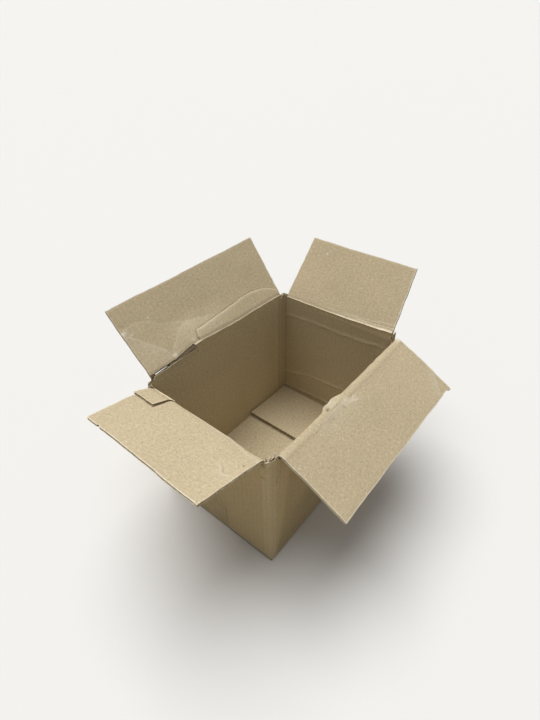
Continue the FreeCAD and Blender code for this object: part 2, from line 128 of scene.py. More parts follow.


# Marks pressed or torn into each sheet, in the same (u, d) places. ridge: a line that stands up by
# height; step: the side to the left of the line is raised and fades away; patch: a raised area;
# dent: an oval; crease: a sharp bend with its left side a little raised and paler, partly from wear
# and partly a painted highlight. light says how much paler the paper along the mark is, from wear and
# a painted highlight, and dark how much painted shade lies along it, in pits, grooves, creases and
# beside raised edges.
marks = {
    "back": [
        drawn("patch", [(131, 9), (119, 17), (108, 21.7), (92, 25.6), (75.9, 28.3), (46.3, 27.1),
                        (14.2, 25.4), (-44, 23), (-49.3, 13.6), (-45, -4), (133, -4)], 1.4, 0.9, 0.16, 0.6),
        drawn("crease", [(-95.1, 10.5), (-92, 16), (-86.9, 21.3), (-69.5, 35.9), (-60, 40.2), (-53.2, 41.1),
                         (-31.5, 36.5), (-18, 33)], -0.6, 0.8, -0.16, 0.3, 14),
        drawn("crease", [(-92, 7), (-94.4, 10.7), (-107.3, 32.7), (-130.2, 57.4), (-137, 64)], 0.7, 0.8,
              0.22, 0.22, 24),
        drawn("crease", [(-139, 74), (-131.2, 71.2), (-118, 72.5), (-105, 68.7), (-97.2, 66.9),
                         (-89.9, 57.8), (-78.8, 52.5), (-66, 50), (-52, 43)], -0.35, 0.8, -0.1, 0.13, 8),
        dent((-137.5, 67.0), (4.0, 2.6), 0.5, 0.8), dent((-129, 60.5), (3.6, 1.6), 0.3, 0.4),
        dent((-96.5, 70.0), (2.0, 2.0), 0.4, 0.55), dent((-92, 8), (3.2, 3.0), 0.6, 0.6),
        dent((-57, 12), (3.0, 4.0), 0.6, 0.35), dent((-62, 7), (2.5, 2.0), 0.5, 0.5),
    ],
    "front": [
        drawn("crease", [(-142.5, 74), (-136, 84), (-124.5, 99)], -0.7, 0.8, -0.25, 0.35, 10),
        dent((30.0, 3.0), (12.0, 3.4), 1.3, 0.25), dent((41.0, 2.2), (2.6, 1.6), -1.2, 0.0, 1.0),
        dent((21.0, 15.0), (1.2, 3.0), -0.6, 0.0, 0.4),
        drawn("crease", [(54, 9), (40, 8.5), (22, 6.5), (12, 9.5), (0, 12)], -0.8, 0.8, -0.3, 0.22, 8),
        dent((10.0, 9.0), (5.0, 2.4), 0.8, 0.45),
        drawn("ridge", [(20, 12), (8, 15), (-4, 21)], 0.5, 1.8, 0.22),
        dent((49.0, 17.0), (9.0, 5.0), -0.8, 0.0, 0.1), dent((-139.0, 3.0), (5.0, 4.0), 1.2, 0.6),
        drawn("step", [(133, 9), (60, 10.5), (0, 9.5), (-70, 10.5), (-141, 9)], 0.4, 1.2, fade=8),
    ],
    "right": [
        dent((-55.2, 83.9), (1.6, 1.4), 0.3, 1.0),
        drawn("crease", [(-10, 4.6), (21.8, 6.5), (60, 11.5), (96, 17.5)], -0.5, 0.7, -0.14, 0.3, 7),
    ],
    "left": [
        drawn("crease", [(-90, 50), (-86, 53), (-81.5, 52.5), (-79, 47), (-75, 45)], 0.9, 0.9, 0.35, 0.5,
              3),
        dent((-89.6, 26.9), (1.4, 1.1), -0.4, 0.0, 1.0),
        drawn("crease", [(-98, 12), (-84, 9.5), (-65, 6.5), (-30, 4.0), (10, 3.2)], -0.5, 0.7, -0.25, 0.22,
              4),
    ],
    # the walls: u is x on the long walls and y on the short ones, d is the height
    "rightInside": [
        drawn("ridge", [(97, 173.5), (32.2, 178.9), (-15.9, 179.8), (-60.7, 183.5), (-96, 186.5)], 1.0, 1.8,
              0.3),
        drawn("ridge", [(97, 47), (85.2, 50), (37.7, 61.3), (-9.2, 64.8), (-31.4, 67.9), (-70, 71)], 1.0,
              1.8, 0.28),
        drawn("ridge", [(95, 15), (51.6, 16.5), (1.1, 19), (-60, 17), (-95, 16)], 1.4, 1.8, 0.5),
        drawn("ridge", [(95, 12), (51.6, 13.2), (1.1, 15.4), (-60, 13.6), (-95, 13)], -0.8, 1.6, 0.0, 0.5),
    ],
    "backInside": [
        drawn("ridge", [(121, 205), (120.5, 120), (122, 10)], 0.7, 3.0, 0.15),
        drawn("ridge", [(129, 205), (130, 10)], -0.6, 2.4, 0.0, 0.15),
        dent((70, 203), (6.0, 3.0), -0.9, 0.2), dent((64.0, 177), (1.3, 1.3), -0.2, 0.0, 0.8),
    ],
    "frontOutside": [
        drawn("step", [(-104, 206), (-109, 141), (-122, 47), (-134, 6)], -0.9, 6.0, fade=22),
        dent((-70, 60), (30, 22), -0.8, 0.0, 0.12),
        drawn("ridge", [(-138, 205), (-137.5, 120), (-139, 8)], 0.35, 1.6, 0.25),
        drawn("ridge", [(-128, 180), (-134, 168), (-136, 160)], -0.5, 1.4, 0.0, 0.35),
    ],
    "leftOutside": [
        drawn("ridge", [(-94, 206), (-93.5, 100), (-94, 10)], 0.4, 1.8, 0.2),
        dent((-93, 176), (1.6, 1.4), -0.4, 0.0, 1.0), dent((-94, 200), (3.0, 5.0), -0.8, 0.0, 0.7),
        dent((-20, 90), (45, 40), -0.7),
    ],
}

# Bites out of each flap's free edge: (place along the edge, half width, depth).
nicks = {
    "front": [(-145, 6, -3.2), (-132, 9, 0.8), (-70, 25, 0.5), (20, 30, 0.6), (96, 18, 0.5), (143, 3, 0.8)],
    "back": [(-138, 4, 0.6), (-40, 40, 0.5), (70, 30, 0.4)],
    "left": [(59.5, 1.5, 1.8), (-20, 25, 0.5), (-92, 6, 0.4), (40, 12, 0.4)],
    "right": [(91, 1.6, -1.4), (-20, 30, 0.4)],
}


def softNoise(x, y, scale, seed):
    table = np.random.default_rng(seed).random((64, 64))
    fx, fy = np.asarray(x, float) / scale, np.asarray(y, float) / scale
    ix, iy = np.floor(fx).astype(int), np.floor(fy).astype(int)
    tx, ty = fx - ix, fy - iy
    tx, ty = tx * tx * (3 - 2 * tx), ty * ty * (3 - 2 * ty)
    low = table[ix % 64, iy % 64] * (1 - tx) + table[(ix + 1) % 64, iy % 64] * tx
    high = table[ix % 64, (iy + 1) % 64] * (1 - tx) + table[(ix + 1) % 64, (iy + 1) % 64] * tx
    return 2 * (low * (1 - ty) + high * ty) - 1


def ease(x):
    x = np.clip(x, 0, 1)
    return x * x * (3 - 2 * x)


def bell(x, power=2):
    return np.exp(-x ** power)


def flute(along):
    return np.sin(2 * math.pi * along / board["pitch"])


def valueAt(table, u):
    return np.interp(u, *zip(*table))


def lineDistance(u, d, points):
    # distance of every place to a line of points, and which side of it the place is on
    nearest, side = np.full(np.shape(u), 1e6), np.ones(np.shape(u))
    for (ax, ay), (bx, by) in zip(points, points[1:]):
        ex, ey = bx - ax, by - ay
        share = np.clip(((u - ax) * ex + (d - ay) * ey) / (ex * ex + ey * ey), 0, 1)
        distance = np.hypot(u - ax - share * ex, d - ay - share * ey)
        closer = distance < nearest
        side = np.where(closer, np.sign(ex * (d - ay) - ey * (u - ax) + 1e-9), side)
        nearest = np.where(closer, distance, nearest)
    return nearest, side


def insideOf(u, d, points):
    inside = np.zeros(np.shape(u), bool)
    for (ax, ay), (bx, by) in zip(points, points[1:] + points[:1]):
        if ay != by:
            inside ^= ((ay > d) != (by > d)) & (u < (bx - ax) * (d - ay) / (by - ay) + ax)
    return inside


def smoothed(points, rounds=2):
    # cuts the corners of an open line, so that it runs in a soft curve
    points = np.array(points, float)
    for _ in range(rounds):
        cuts = [(0.75 * a + 0.25 * b, 0.25 * a + 0.75 * b) for a, b in zip(points, points[1:])]
        points = np.concatenate([points[:1], *cuts, points[-1:]])
    return points


def relief(sheet, u, d):
    # how far the marks of one sheet lift its face, how much paler they make the paper by wear and painted
    # highlight, and the painted shade along them
    lift, worn, shaded = (np.zeros(np.shape(u)) for _ in range(3))
    wobbled = [place + 1.2 * softNoise(u, d, 9, seed) for place, seed in ((u, 5), (d, 6))]
    patchy = 0.75 + 0.4 * softNoise(u, d, 14, 7)
    for mark in marks.get(sheet, []):
        if mark["kind"] == "dent":
            raised = bell(np.hypot((u - mark["at"][0]) / mark["radii"][0],
                                   (d - mark["at"][1]) / mark["radii"][1]))
            pale = dim = raised
        elif mark["kind"] == "patch":
            distance = lineDistance(*wobbled, mark["points"] + mark["points"][:1])[0]
            signed = np.where(insideOf(*wobbled, mark["points"]), distance, -distance)
            raised = ease(0.5 + signed / (2 * mark["width"]))
            pale, dim = bell((signed - 2.2) / 2.0) * (d > 5), bell((signed + 1.2) / mark["width"]) * (d > 5)
        else:
            distance, side = lineDistance(*wobbled, smoothed(mark["points"]))
            line, fading = bell(distance / mark["width"]), np.exp(-distance / mark["fade"])
            raised = pale = line * patchy
            dim = bell(distance / (0.7 * mark["width"])) * patchy
            if mark["kind"] == "step":
                raised = ease(0.5 + side * distance / (2 * mark["width"])) * fading
            elif mark["kind"] == "crease":
                left = ease(0.5 + side * distance / mark["width"])
                raised, pale = left * fading, (left if mark["light"] > 0 else 1 - left) * fading
                dim = line * patchy
        lift += mark["height"] * raised
        worn += abs(mark["light"]) * pale
        shaded += mark["dark"] * dim
    return lift, worn, shaded


class Sheets:
    # gathers closed thin sheets of one piece and turns them into one mesh
    def __init__(self):
        self.points, self.places, self.worn, self.shaded = [], [], [], []
        self.faces, self.kinds, self.count = [], [], 0

    def addPoints(self, points, places, worn, shaded):
        # places are the three coordinates of the points on the flat board, which the paper's look follows
        shape, first = points.shape[:-1], self.count
        places = np.stack([np.broadcast_to(part, shape) for part in places], -1)
        self.points.append(points.reshape(-1, 3))
        self.places.append(places.reshape(-1, 3))
        self.worn.append(np.broadcast_to(worn, shape).ravel())
        self.shaded.append(np.broadcast_to(shaded, shape).ravel())
        self.count += points.size // 3
        return np.arange(first, self.count).reshape(shape)

    def addFaces(self, corners, kind):
        self.faces.append(np.stack(corners, -1).reshape(-1, 4))
        self.kinds.append(np.full(len(self.faces[-1]), kind))

    def shell(self, top, under, places, worn, shaded, kinds, flap=None):
        # two grids of the same shape, joined at their rims; those of a flap are put in place first
        if flap:
            top, under = placed(top, flap), placed(under, flap)
        a, b = [self.addPoints(grid, places, worn, shaded) for grid in (top, under)]
        self.addFaces((a[:-1, :-1], a[:-1, 1:], a[1:, 1:], a[1:, :-1]), kinds[0])
        self.addFaces((b[:-1, :-1], b[1:, :-1], b[1:, 1:], b[:-1, 1:]), kinds[1])
        self.addFaces((a[0, 1:], a[0, :-1], b[0, :-1], b[0, 1:]), kinds[2])
        self.addFaces((a[-1, :-1], a[-1, 1:], b[-1, 1:], b[-1, :-1]), kinds[2])
        self.addFaces((a[:-1, 0], a[1:, 0], b[1:, 0], b[:-1, 0]), kinds[2])
        self.addFaces((a[1:, -1], a[:-1, -1], b[:-1, -1], b[1:, -1]), kinds[2])

    def piece(self, name, materials, sharp=40):
        mesh = bpy.data.meshes.new(name)
        points, faces = np.vstack(self.points) * mm, np.vstack(self.faces)
        mesh.vertices.add(len(points))
        mesh.vertices.foreach_set("co", points.astype(np.float32).ravel())
        mesh.loops.add(faces.size)
        mesh.loops.foreach_set("vertex_index", faces.astype(np.int32).ravel())
        mesh.polygons.add(len(faces))
        mesh.polygons.foreach_set("loop_start", np.arange(0, faces.size, 4, dtype=np.int32))
        mesh.polygons.foreach_set("material_index", np.concatenate(self.kinds).astype(np.int32))
        mesh.polygons.foreach_set("use_smooth", np.ones(len(faces), bool))
        # paleness from wear and painted highlight, and painted shade, are kept on every point for the
        # paper's look
        for title, values in (("worn", self.worn), ("shaded", self.shaded)):
            layer = mesh.attributes.new(title, "FLOAT", "POINT")
            layer.data.foreach_set("value", np.clip(np.concatenate(values), 0, 1).astype(np.float32))
        layer = mesh.attributes.new("boardPlace", "FLOAT_VECTOR", "POINT")
        layer.data.foreach_set("vector", (np.vstack(self.places) * mm).astype(np.float32).ravel())
        for material in materials:
            mesh.materials.append(material)
        mesh.update(calc_edges=True)
        mesh.validate()
        mesh.set_sharp_from_angle(angle=math.radians(sharp))
        thing = bpy.data.objects.new(name, mesh)
        bpy.context.scene.collection.objects.link(thing)
        return thing


def given(tree, node, inputs):
    # sets the inputs that are given as values, and links those given as sockets
    for key, source in inputs.items():
        if isinstance(source, bpy.types.NodeSocket):
            tree.links.new(source, node.inputs[key])
        else:
            node.inputs[key].default_value = source
    return node


def added(tree, kind, inputs=None, **settings):
    node = tree.nodes.new(kind)
    for title, setting in settings.items():
        setattr(node, title, setting)
    return given(tree, node, inputs or {})


def maths(tree, operation, *sources):
    return added(tree, "ShaderNodeMath", dict(enumerate(sources)), operation=operation).outputs[0]


def mixed(tree, amount, first, second, blend="MIX"):
    node = added(tree, "ShaderNodeMix", data_type="RGBA", blend_type=blend)
    return given(tree, node, {0: amount, 6: first, 7: second}).outputs[2]


# colours of the paper: dark and pale flecks, a pale colour for wear and painted highlight, and a dark brown
# for painted shade
fibres = {
    "blotch": 0.2, "fibre": 0.36, "darkFleck": (0.16, 0.11, 0.06, 1), "paleFleck": (0.82, 0.74, 0.56, 1),
    "wornPaper": (0.90, 0.83, 0.67, 1), "shadedPaper": (0.14, 0.095, 0.05, 1), "roughness": 0.84,
    "bumpDepth": 0.0006, "shine": 0.25,
}


def kraftFibreGroup():
    # paper fibres, mottling and flecks; Place is where a point lies on the flat sheet, in metres
    group = bpy.data.node_groups.new("kraftFibre", "ShaderNodeTree")
    sockets = {"INPUT": {"Place": "Vector", "Paper": "Color", "WearAndHighlight": "Float", "Shaded": "Float",
                         "Mottle": "Float", "Fleck": "Float", "Ripple": "Float"},
               "OUTPUT": {"Color": "Color", "Roughness": "Float", "Height": "Float"}}
    for way, titles in sockets.items():
        for title, kind in titles.items():
            group.interface.new_socket(title, in_out=way, socket_type="NodeSocket" + kind)
    source, out = added(group, "NodeGroupInput").outputs, added(group, "NodeGroupOutput")

    def times(first, second):
        return maths(group, "MULTIPLY", first, second)

    def plus(first, second):
        return maths(group, "ADD", first, second)

    def grain(scale, detail, stretch=(1, 1, 1), rough=0.55):
        place = added(group, "ShaderNodeVectorMath", {0: source["Place"], 1: stretch}, operation="MULTIPLY")
        look = {"Scale": scale, "Detail": detail, "Roughness": rough, "Vector": place.outputs[0]}
        return maths(group, "SUBTRACT", added(group, "ShaderNodeTexNoise", look).outputs["Fac"], 0.5)

    def flecks(scale, size, amount):
        look = {"Scale": scale, "Randomness": 1.0, "Vector": source["Place"]}
        cells = added(group, "ShaderNodeTexVoronoi", look).outputs
        some = added(group, "ShaderNodeSeparateColor", {0: cells["Color"]}).outputs[0]
        chosen = times(maths(group, "LESS_THAN", cells["Distance"], size),
                       maths(group, "GREATER_THAN", some, 0.55))
        return times(chosen, times(source["Fleck"], amount))

    mottle = grain(300, 4, rough=0.72)
    fibre = plus(grain(760, 2), grain(560, 2, (1, 0.6, 1)))
    shade = plus(times(grain(9, 2), fibres["blotch"]), times(fibre, fibres["fibre"]))
    shade = plus(shade, times(mottle, source["Mottle"]))
    across = added(group, "ShaderNodeSeparateXYZ", {0: source["Place"]}).outputs[0]
    wave = maths(group, "SINE", times(across, 2 * math.pi / (board["pitch"] * mm)))
    level = plus(plus(shade, times(wave, source["Ripple"])), 1.0)
    level = added(group, "ShaderNodeCombineColor", {0: level, 1: level, 2: level}).outputs[0]
    color = mixed(group, 1.0, source["Paper"], level, "MULTIPLY")
    color = mixed(group, flecks(150, 0.13, 0.5), color, fibres["darkFleck"])
    color = mixed(group, flecks(115, 0.14, 0.42), color, fibres["paleFleck"])
    # pale where the paper is worn and where a highlight is painted, dark brown where shade is painted
    worn = times(source["WearAndHighlight"], plus(0.55, times(plus(mottle, 0.5), 0.8)))
    color = mixed(group, maths(group, "MINIMUM", worn, 1.0), color, fibres["wornPaper"])
    color = mixed(group, times(source["Shaded"], 0.85), color, fibres["shadedPaper"])
    given(group, out, {"Color": color, "Roughness": plus(fibres["roughness"], times(mottle, 0.2)),
                       "Height": plus(times(mottle, 0.6), times(fibre, 0.5))})
    return group


def newMaterial(name):
    material = bpy.data.materials.new(name)
    material.use_nodes = True
    return material, material.node_tree, material.node_tree.nodes["Principled BSDF"]


def paperMaterial(group, name, paper, mottle, fleck, ripple, bump):
    material, tree, shader = newMaterial(name)
    place, worn, shaded = [added(tree, "ShaderNodeAttribute", attribute_name=title).outputs
                           for title in ("boardPlace", "worn", "shaded")]
    look = added(tree, "ShaderNodeGroup", node_tree=group)
    given(tree, look, {"Place": place["Vector"], "Paper": (*paper, 1), "WearAndHighlight": worn["Fac"],
                       "Shaded": shaded["Fac"], "Mottle": mottle, "Fleck": fleck, "Ripple": ripple})
    relieved = added(tree, "ShaderNodeBump", {"Strength": bump, "Distance": fibres["bumpDepth"],
                                              "Height": look.outputs["Height"]})
    given(tree, shader, {"Base Color": look.outputs["Color"], "Roughness": look.outputs["Roughness"],
                         "Normal": relieved.outputs["Normal"], "Specular IOR Level": fibres["shine"]})
    return material


fibreGroup = kraftFibreGroup()
paints = {
    "insideLiner": {"paper": (0.575, 0.475, 0.308), "mottle": 0.76, "fleck": 0.85, "ripple": 0.012,
                    "bump": 0.4},
    "outsideLiner": {"paper": (0.560, 0.452, 0.262), "mottle": 0.5, "fleck": 0.5, "ripple": 0.02,
                     "bump": 0.3},
    "wavyPaper": {"paper": (0.470, 0.380, 0.235), "mottle": 0.4, "fleck": 0.3, "ripple": 0.0, "bump": 0.5},
    "tornPaper": {"paper": (0.660, 0.565, 0.395), "mottle": 0.5, "fleck": 0.4, "ripple": 0.0, "bump": 0.8},
    # the walls' inner liner: a darker, less orange copy of insideLiner, standing in for the shade inside
    # the box
    "shadedWallInside": {"paper": (0.545, 0.462, 0.308), "mottle": 0.6, "fleck": 0.8, "ripple": 0.012,
                   "bump": 0.4},
}
boardPaints = [paperMaterial(fibreGroup, name, **look) for name, look in paints.items()]
# the paints by their number on a mesh
inside, outside, wavy, torn, shadedWallInside = range(5)
print("materials made")

film = {"tones": ((0.3, (0.43, 0.325, 0.175, 1)), (0.7, (0.50, 0.385, 0.21, 1))), "roughness": (0.26, 0.45),
        "coat": 0.05, "coatRoughness": 0.12, "streaks": 60, "wrinkle": 0.25}


def tapeMaterial():
    material, tree, shader = newMaterial("packingTape")
    where = added(tree, "ShaderNodeTexCoord").outputs["Object"]
    look = {"Scale": film["streaks"], "Detail": 4, "Vector": where}
    streaks = added(tree, "ShaderNodeTexNoise", look).outputs["Fac"]
    tones = added(tree, "ShaderNodeValToRGB", {"Fac": streaks})
    for element, (position, color) in zip(tones.color_ramp.elements, film["tones"]):
        element.position, element.color = position, color
    smooth, rough = film["roughness"]
    gloss = added(tree, "ShaderNodeMapRange", {"To Min": smooth, "To Max": rough, "Value": streaks})
    look = {"Strength": film["wrinkle"], "Distance": fibres["bumpDepth"], "Height": streaks}
    bubbles = added(tree, "ShaderNodeBump", look)
    given(tree, shader, {"Base Color": tones.outputs["Color"], "Roughness": gloss.outputs["Result"],
                         "Normal": bubbles.outputs["Normal"], "Specular IOR Level": fibres["shine"],
                         "Coat Weight": film["coat"], "Coat Roughness": film["coatRoughness"]})
    return material


def fromFlap(flap, d, w):
    # (d, w) on the flap as (out, up) from the fold line
    tilt = math.radians(flap["angle"])
    return np.array([d * math.cos(tilt) - w * math.sin(tilt), d * math.sin(tilt) + w * math.cos(tilt)])


def toFlap(flap, place):
    # (out, up) from the fold line as (d, w) on the flap
    tilt = math.radians(flap["angle"])
    out, up = place
    return np.array([out * math.cos(tilt) + up * math.sin(tilt),
                     -out * math.sin(tilt) + up * math.cos(tilt)])


def placed(points, flap):
    # from a flap's own level drawing to its place on the box
    turn = math.radians(flap["turn"])
    u, d = points[..., 0], points[..., 1]
    out, up = fromFlap(flap, d, points[..., 2])
    if "sag" in flap:
        at, moveOut, moveUp = zip(*flap["sag"])
        near = 1 - ease(d / fades["sag"])
        out, up = out + near * np.interp(u, at, moveOut), up + near * np.interp(u, at, moveUp)
    x = u * math.cos(turn) - out * math.sin(turn)
    y = u * math.sin(turn) + out * math.cos(turn)
    return np.stack([x, y, up], -1) + np.array(flap["fold"])


def across(u, curve):
    # a grid from the u of its columns and the (d, w) of its points
    return np.concatenate([np.broadcast_to(u, curve.shape[:2])[..., None], curve], -1)


def shifted(grid, axis, by):
    moved = grid.copy()
    moved[..., axis] += by
    return moved


def beneath(grid, thick, bent):
    # the same sheet, thick lower: square to its bend in the first rows, then straight down
    step = np.stack([np.gradient(grid[:bent, :, axis], axis=0) for axis in (1, 2)], -1)
    step /= np.maximum(np.linalg.norm(step, axis=-1), 1e-6)[..., None]
    under = grid.copy()
    under[:bent, :, 1] += thick * step[..., 1]
    under[:bent, :, 2] -= thick * step[..., 0]
    under[bent:, :, 2] -= thick
    return under


def threaded(stops, steps):
    # a smooth line through the stops, steps rows to each
    ends = np.concatenate([[2 * stops[0] - stops[1]], stops, [2 * stops[-1] - stops[-2]]])
    rows = []
    for a, b, c, d in zip(ends, ends[1:], ends[2:], ends[3:]):
        for t in np.arange(steps) / steps:
            rows.append(0.5 * (2 * b + (c - a) * t + (2 * a - 5 * b + 4 * c - d) * t * t
                               + (3 * b - a - 3 * c + d) * t ** 3))
    return np.array(rows + [stops[-1]])


def valley(flap, u):
    # how far out on the flap the crushed fold ends, how high it stands over the score, and how far
    # the board beyond a high fold is buckled up with it
    rise = valueAt(flap["rise"], u) + 0.3 * softNoise(u, 0, 11, flap["seed"] + 5)
    if flap["angle"] < steep:
        return 0 * u, rise, 0 * u
    tilt = math.radians(flap["angle"])
    buckled = np.maximum(0, flap["lift"] * rise - foldGive)
    level = (board["thick"] - flap["crush"] + buckled) * math.cos(tilt)
    return (rise - case["scoreGap"] - level) / math.sin(tilt), rise, buckled


def foldStops(flap, u):
    # the inner face's way over the fold, as (out, up) from the fold line for every u
    rise = valley(flap, u)[1]
    if flap["angle"] < 0:
        stops = [(-4.03, -11.0, 0), (-3.5, -8.0, 0), (-2.7, -5.4, 0.3), (-1.9, -3.2, 0.7), (-1.25, -1.5, 1)]
        return np.array([[out - 0.8 * share * rise, up + 1.1 * share * rise] for out, up, share in stops])
    if flap["angle"] < steep:
        stops = [(-4.03, -8.0, 0), (-3.6, -4.6, 0), (-2.7, -2.0, 1), (-1.6, 0.0, 1), (-0.5, 1.9, 1)]
        return np.array([[out + 0 * u, up + share * rise] for out, up, share in stops])
    bulge = 0.85 + 0.25 * softNoise(u, 0, 19, flap["seed"] + 6)
    return np.array([[-4.03 + 0 * u, -4.6 + 0 * u], [-4.08 + 0 * u, rise - 2.8], [-4 - bulge, rise - 0.95],
                     [-4 - 0.6 * bulge, rise + 0.1]])


def flapEdges(flap, share, d):
    # the u of a point that is a share of the way across the flap at depth d
    part = np.clip(d / flap["depth"], 0, 1)
    insets = [flap[end][0] + (flap[end][1] - flap[end][0]) * part for end in ("low", "high")]
    low = -flap["half"] + insets[0] + 0.35 * softNoise(d, 0, 7, flap["seed"])
    high = flap["half"] - insets[1] + 0.35 * softNoise(d, 0, 7, flap["seed"] + 1)
    return low + (high - low) * share


def freeEdge(name, flap, u):
    reach = flap["depth"] + 0.3 * softNoise(u, 0, 12, flap["seed"] + 2)
    reach = reach - flap["skew"] * np.clip((u + flap["half"]) / (2 * flap["half"]), 0, 1)
    for at, wide, deep in nicks[name]:
        reach = reach - deep * bell((u - at) / wide, 4)
    return reach


def widthOf(flap):
    return 2 * flap["half"] - flap["low"][0] - flap["high"][0]


def flapSurface(name, flap, share, d, w, face):
    # places on a flap: share across, d from the fold line out, w through the board
    share, d = np.broadcast_arrays(share, d)
    u = flapEdges(flap, share, d)
    reach = freeEdge(name, flap, u)
    d = d + (reach - flap["depth"]) * ease((d - fades["freeEdge"]) / (flap["depth"] - fades["freeEdge"]))
    lift, worn, shaded = relief(name, u, d)
    bow = softNoise(u, d, 70, flap["seed"] + 3) + 0.35 * softNoise(u, d, 24, flap["seed"] + 4)
    ends, _, buckled = valley(flap, u)
    buckled = buckled * (1 - ease((d - ends) / fades["buckle"]))
    crushed = flap["crush"] * np.clip(1 - (d - ends) / flap["crushWidth"], 0, 1) ** 2
    full = w / board["thick"]
    pressed = bell((reach - d) / 2.4)
    if face == "inner":
        w = w - crushed + lift + 0.05 * flute(u) - 0.2 * pressed + buckled
    elif face == "outer":
        w = w + 0.25 * lift + pressed + 0.75 * buckled * ease(d / fades["outer"])
    else:
        w = (w + (0.25 + 0.75 * full) * lift - crushed * full + 0.4 * pressed
             + 0.86 * buckled * ease(d / fades["middle"]))
    # the ends and the free edge are paler, partly from wear and partly a painted highlight; the flap's own
    # shade is painted evenly over it
    lowRim, highRim, freeRim = flap["worn"]
    width = widthOf(flap)
    rim = lowRim * bell(share * width / 1.3, 4) + highRim * bell((1 - share) * width / 1.3, 4)
    rim = rim + freeRim * bell((reach - d) / 1.2, 4)
    patchy = 0.8 + 0.35 * softNoise(u + d, d - u, 5, flap["seed"] + 9)
    points = np.stack([u, d, w + flap["warp"] * ease(d / fades["warp"]) * bow], -1)
    return points, worn + rim * patchy, shaded + flap["shade"]


def spread(low, high, step, tight=(0.0, 0.4, 0.9, 1.6)):
    # even steps from low to high, closer at the high end
    body = np.linspace(low, high - 2.6, max(2, int((high - low) / step)))
    return np.concatenate([body, high - np.array(tight[::-1])])


def acrossFlap(flap, step):
    width = widthOf(flap)
    half = spread(0, width / 2, step)
    return np.concatenate([(width / 2 - half[::-1])[:-1], width / 2 + half]) / width


def innerLiner(sheets, name, flap):
    share = acrossFlap(flap, board["cell"])
    uFold = flapEdges(flap, share, 0 * share)
    begin = valley(flap, uFold)[0] + (1.5 if flap["angle"] > 0 else 0.4)
    down = (spread(0, flap["depth"], board["cell"]) / flap["depth"])[:, None]
    face, worn, shaded = flapSurface(name, flap, share, begin + (flap["depth"] - begin) * down,
                                     board["thick"], "inner")
    rows = foldStops(flap, uFold)
    if flap["angle"] > 0:
        rows = threaded(np.concatenate([rows, [fromFlap(flap, *face[0, :, 1:].T)]]), 3)[:-1]
    curve = np.stack([toFlap(flap, row) for row in rows] + [face[0, :, 1:].T])   # row, (d, w), column
    # where the fold is torn the liner starts only a share of the way over it
    tear = valueAt(flap["torn"], uFold)
    tear = np.where(tear > 0.01, np.clip(tear + 0.08 * softNoise(uFold, 0, 2.5, 77), 0, 0.97), 0)
    count = len(rows)
    where = (tear + (1 - tear) * np.linspace(0, 1, count, endpoint=False)[:, None]) * count
    lower = np.clip(np.floor(where).astype(int), 0, count - 1)
    part, pick = where - lower, np.arange(len(share))[None]
    over = np.stack([curve[lower, axis, pick] * (1 - part) + curve[lower + 1, axis, pick] * part
                     for axis in (0, 1)], -1)
    top = np.vstack([across(uFold, over), face])
    ramp = where / count
    patchy = 0.75 + 0.4 * softNoise(uFold, 0, 10, 3)
    # a painted highlight along the crest of the fold and, on a steep flap, a painted shade line just past
    # it; the torn liner's edge is paler
    if flap["angle"] > steep:
        crest, dark = 0.8 * bell((ramp - 0.72) / 0.12) * patchy, 0.75 * bell((ramp - 0.94) / 0.06)
    else:
        crest, dark = 0.35 * bell((ramp - 0.75) / 0.3) * patchy, 0 * ramp
    crest = crest + 0.5 * np.clip(tear * 3, 0, 1) * bell((ramp - tear) / 0.1)
    sheets.shell(top, beneath(top, board["liner"], count + 3), (top[..., 0], top[..., 1], 7.0),
                 np.vstack([crest, worn]), np.vstack([dark, shaded]), (inside, wavy, torn), flap)


def tornLiner(sheets, flap):
    # the wall's side of the torn inner liner, drawn in the flap's piece
    u = np.linspace(-137.0, -56.0, 110)
    steps = np.linspace(0, 1, 6)
    top = np.minimum(4.6 + 0.7 * softNoise(u, 0, 4, 83), valley(flap, u)[1] - 2.2) * ease((u + 137) / 3)
    front, rear = [across(u, np.stack([toFlap(flap, (out - 0.25 * share + 0 * u,
                                                     -4.6 + (top + 4.6) * share)).T
                                       for share in steps])) for out in (-4.03, -4.03 + board["liner"])]
    # paler at its torn top, with a little painted shade
    sheets.shell(front, rear, (front[..., 0], front[..., 1], 7.0), 0.35 * (steps == 1)[:, None], 0.05,
                 (shadedWallInside, wavy, torn), flap)


def outerLiner(sheets, name, flap):
    tilt, liner = math.radians(flap["angle"]), board["liner"]
    share = acrossFlap(flap, 3.2)
    uFold = flapEdges(flap, share, 0 * share)
    start, stop = flap.get("slit", (0, 0))
    slit = ((uFold > start) & (uFold < stop)) * 1.0
    d = spread(0.9, flap["depth"], 2.4)[:, None] + 0 * share
    d[0] += 1.9 * slit
    d[1] += 1.0 * slit
    low, worn, shaded = flapSurface(name, flap, share, d, 0.0, "outer")
    strip = [toFlap(flap, corner) * (1 - slit)[:, None] + (low[0, :, 1:] - (back, 0)) * slit[:, None]
             for corner, back in (((0.04, -0.8), 0.2), ((0.05, -0.15), 0.1))]
    low = np.vstack([across(uFold, np.array(strip)), low])
    high = low.copy()
    high[2:, :, 2] += liner
    high[:2, :, 1] -= 0.3 * math.cos(tilt) * (1 - slit)
    high[:2, :, 2] += 0.3 * math.sin(tilt) * (1 - slit) + liner * slit
    worn, shaded = (np.pad(values, ((2, 0), (0, 0))) for values in (worn, 0.2 * shaded))
    sheets.shell(high, low, (low[..., 0], low[..., 1], -9.0), worn, shaded, (wavy, outside, torn), flap)


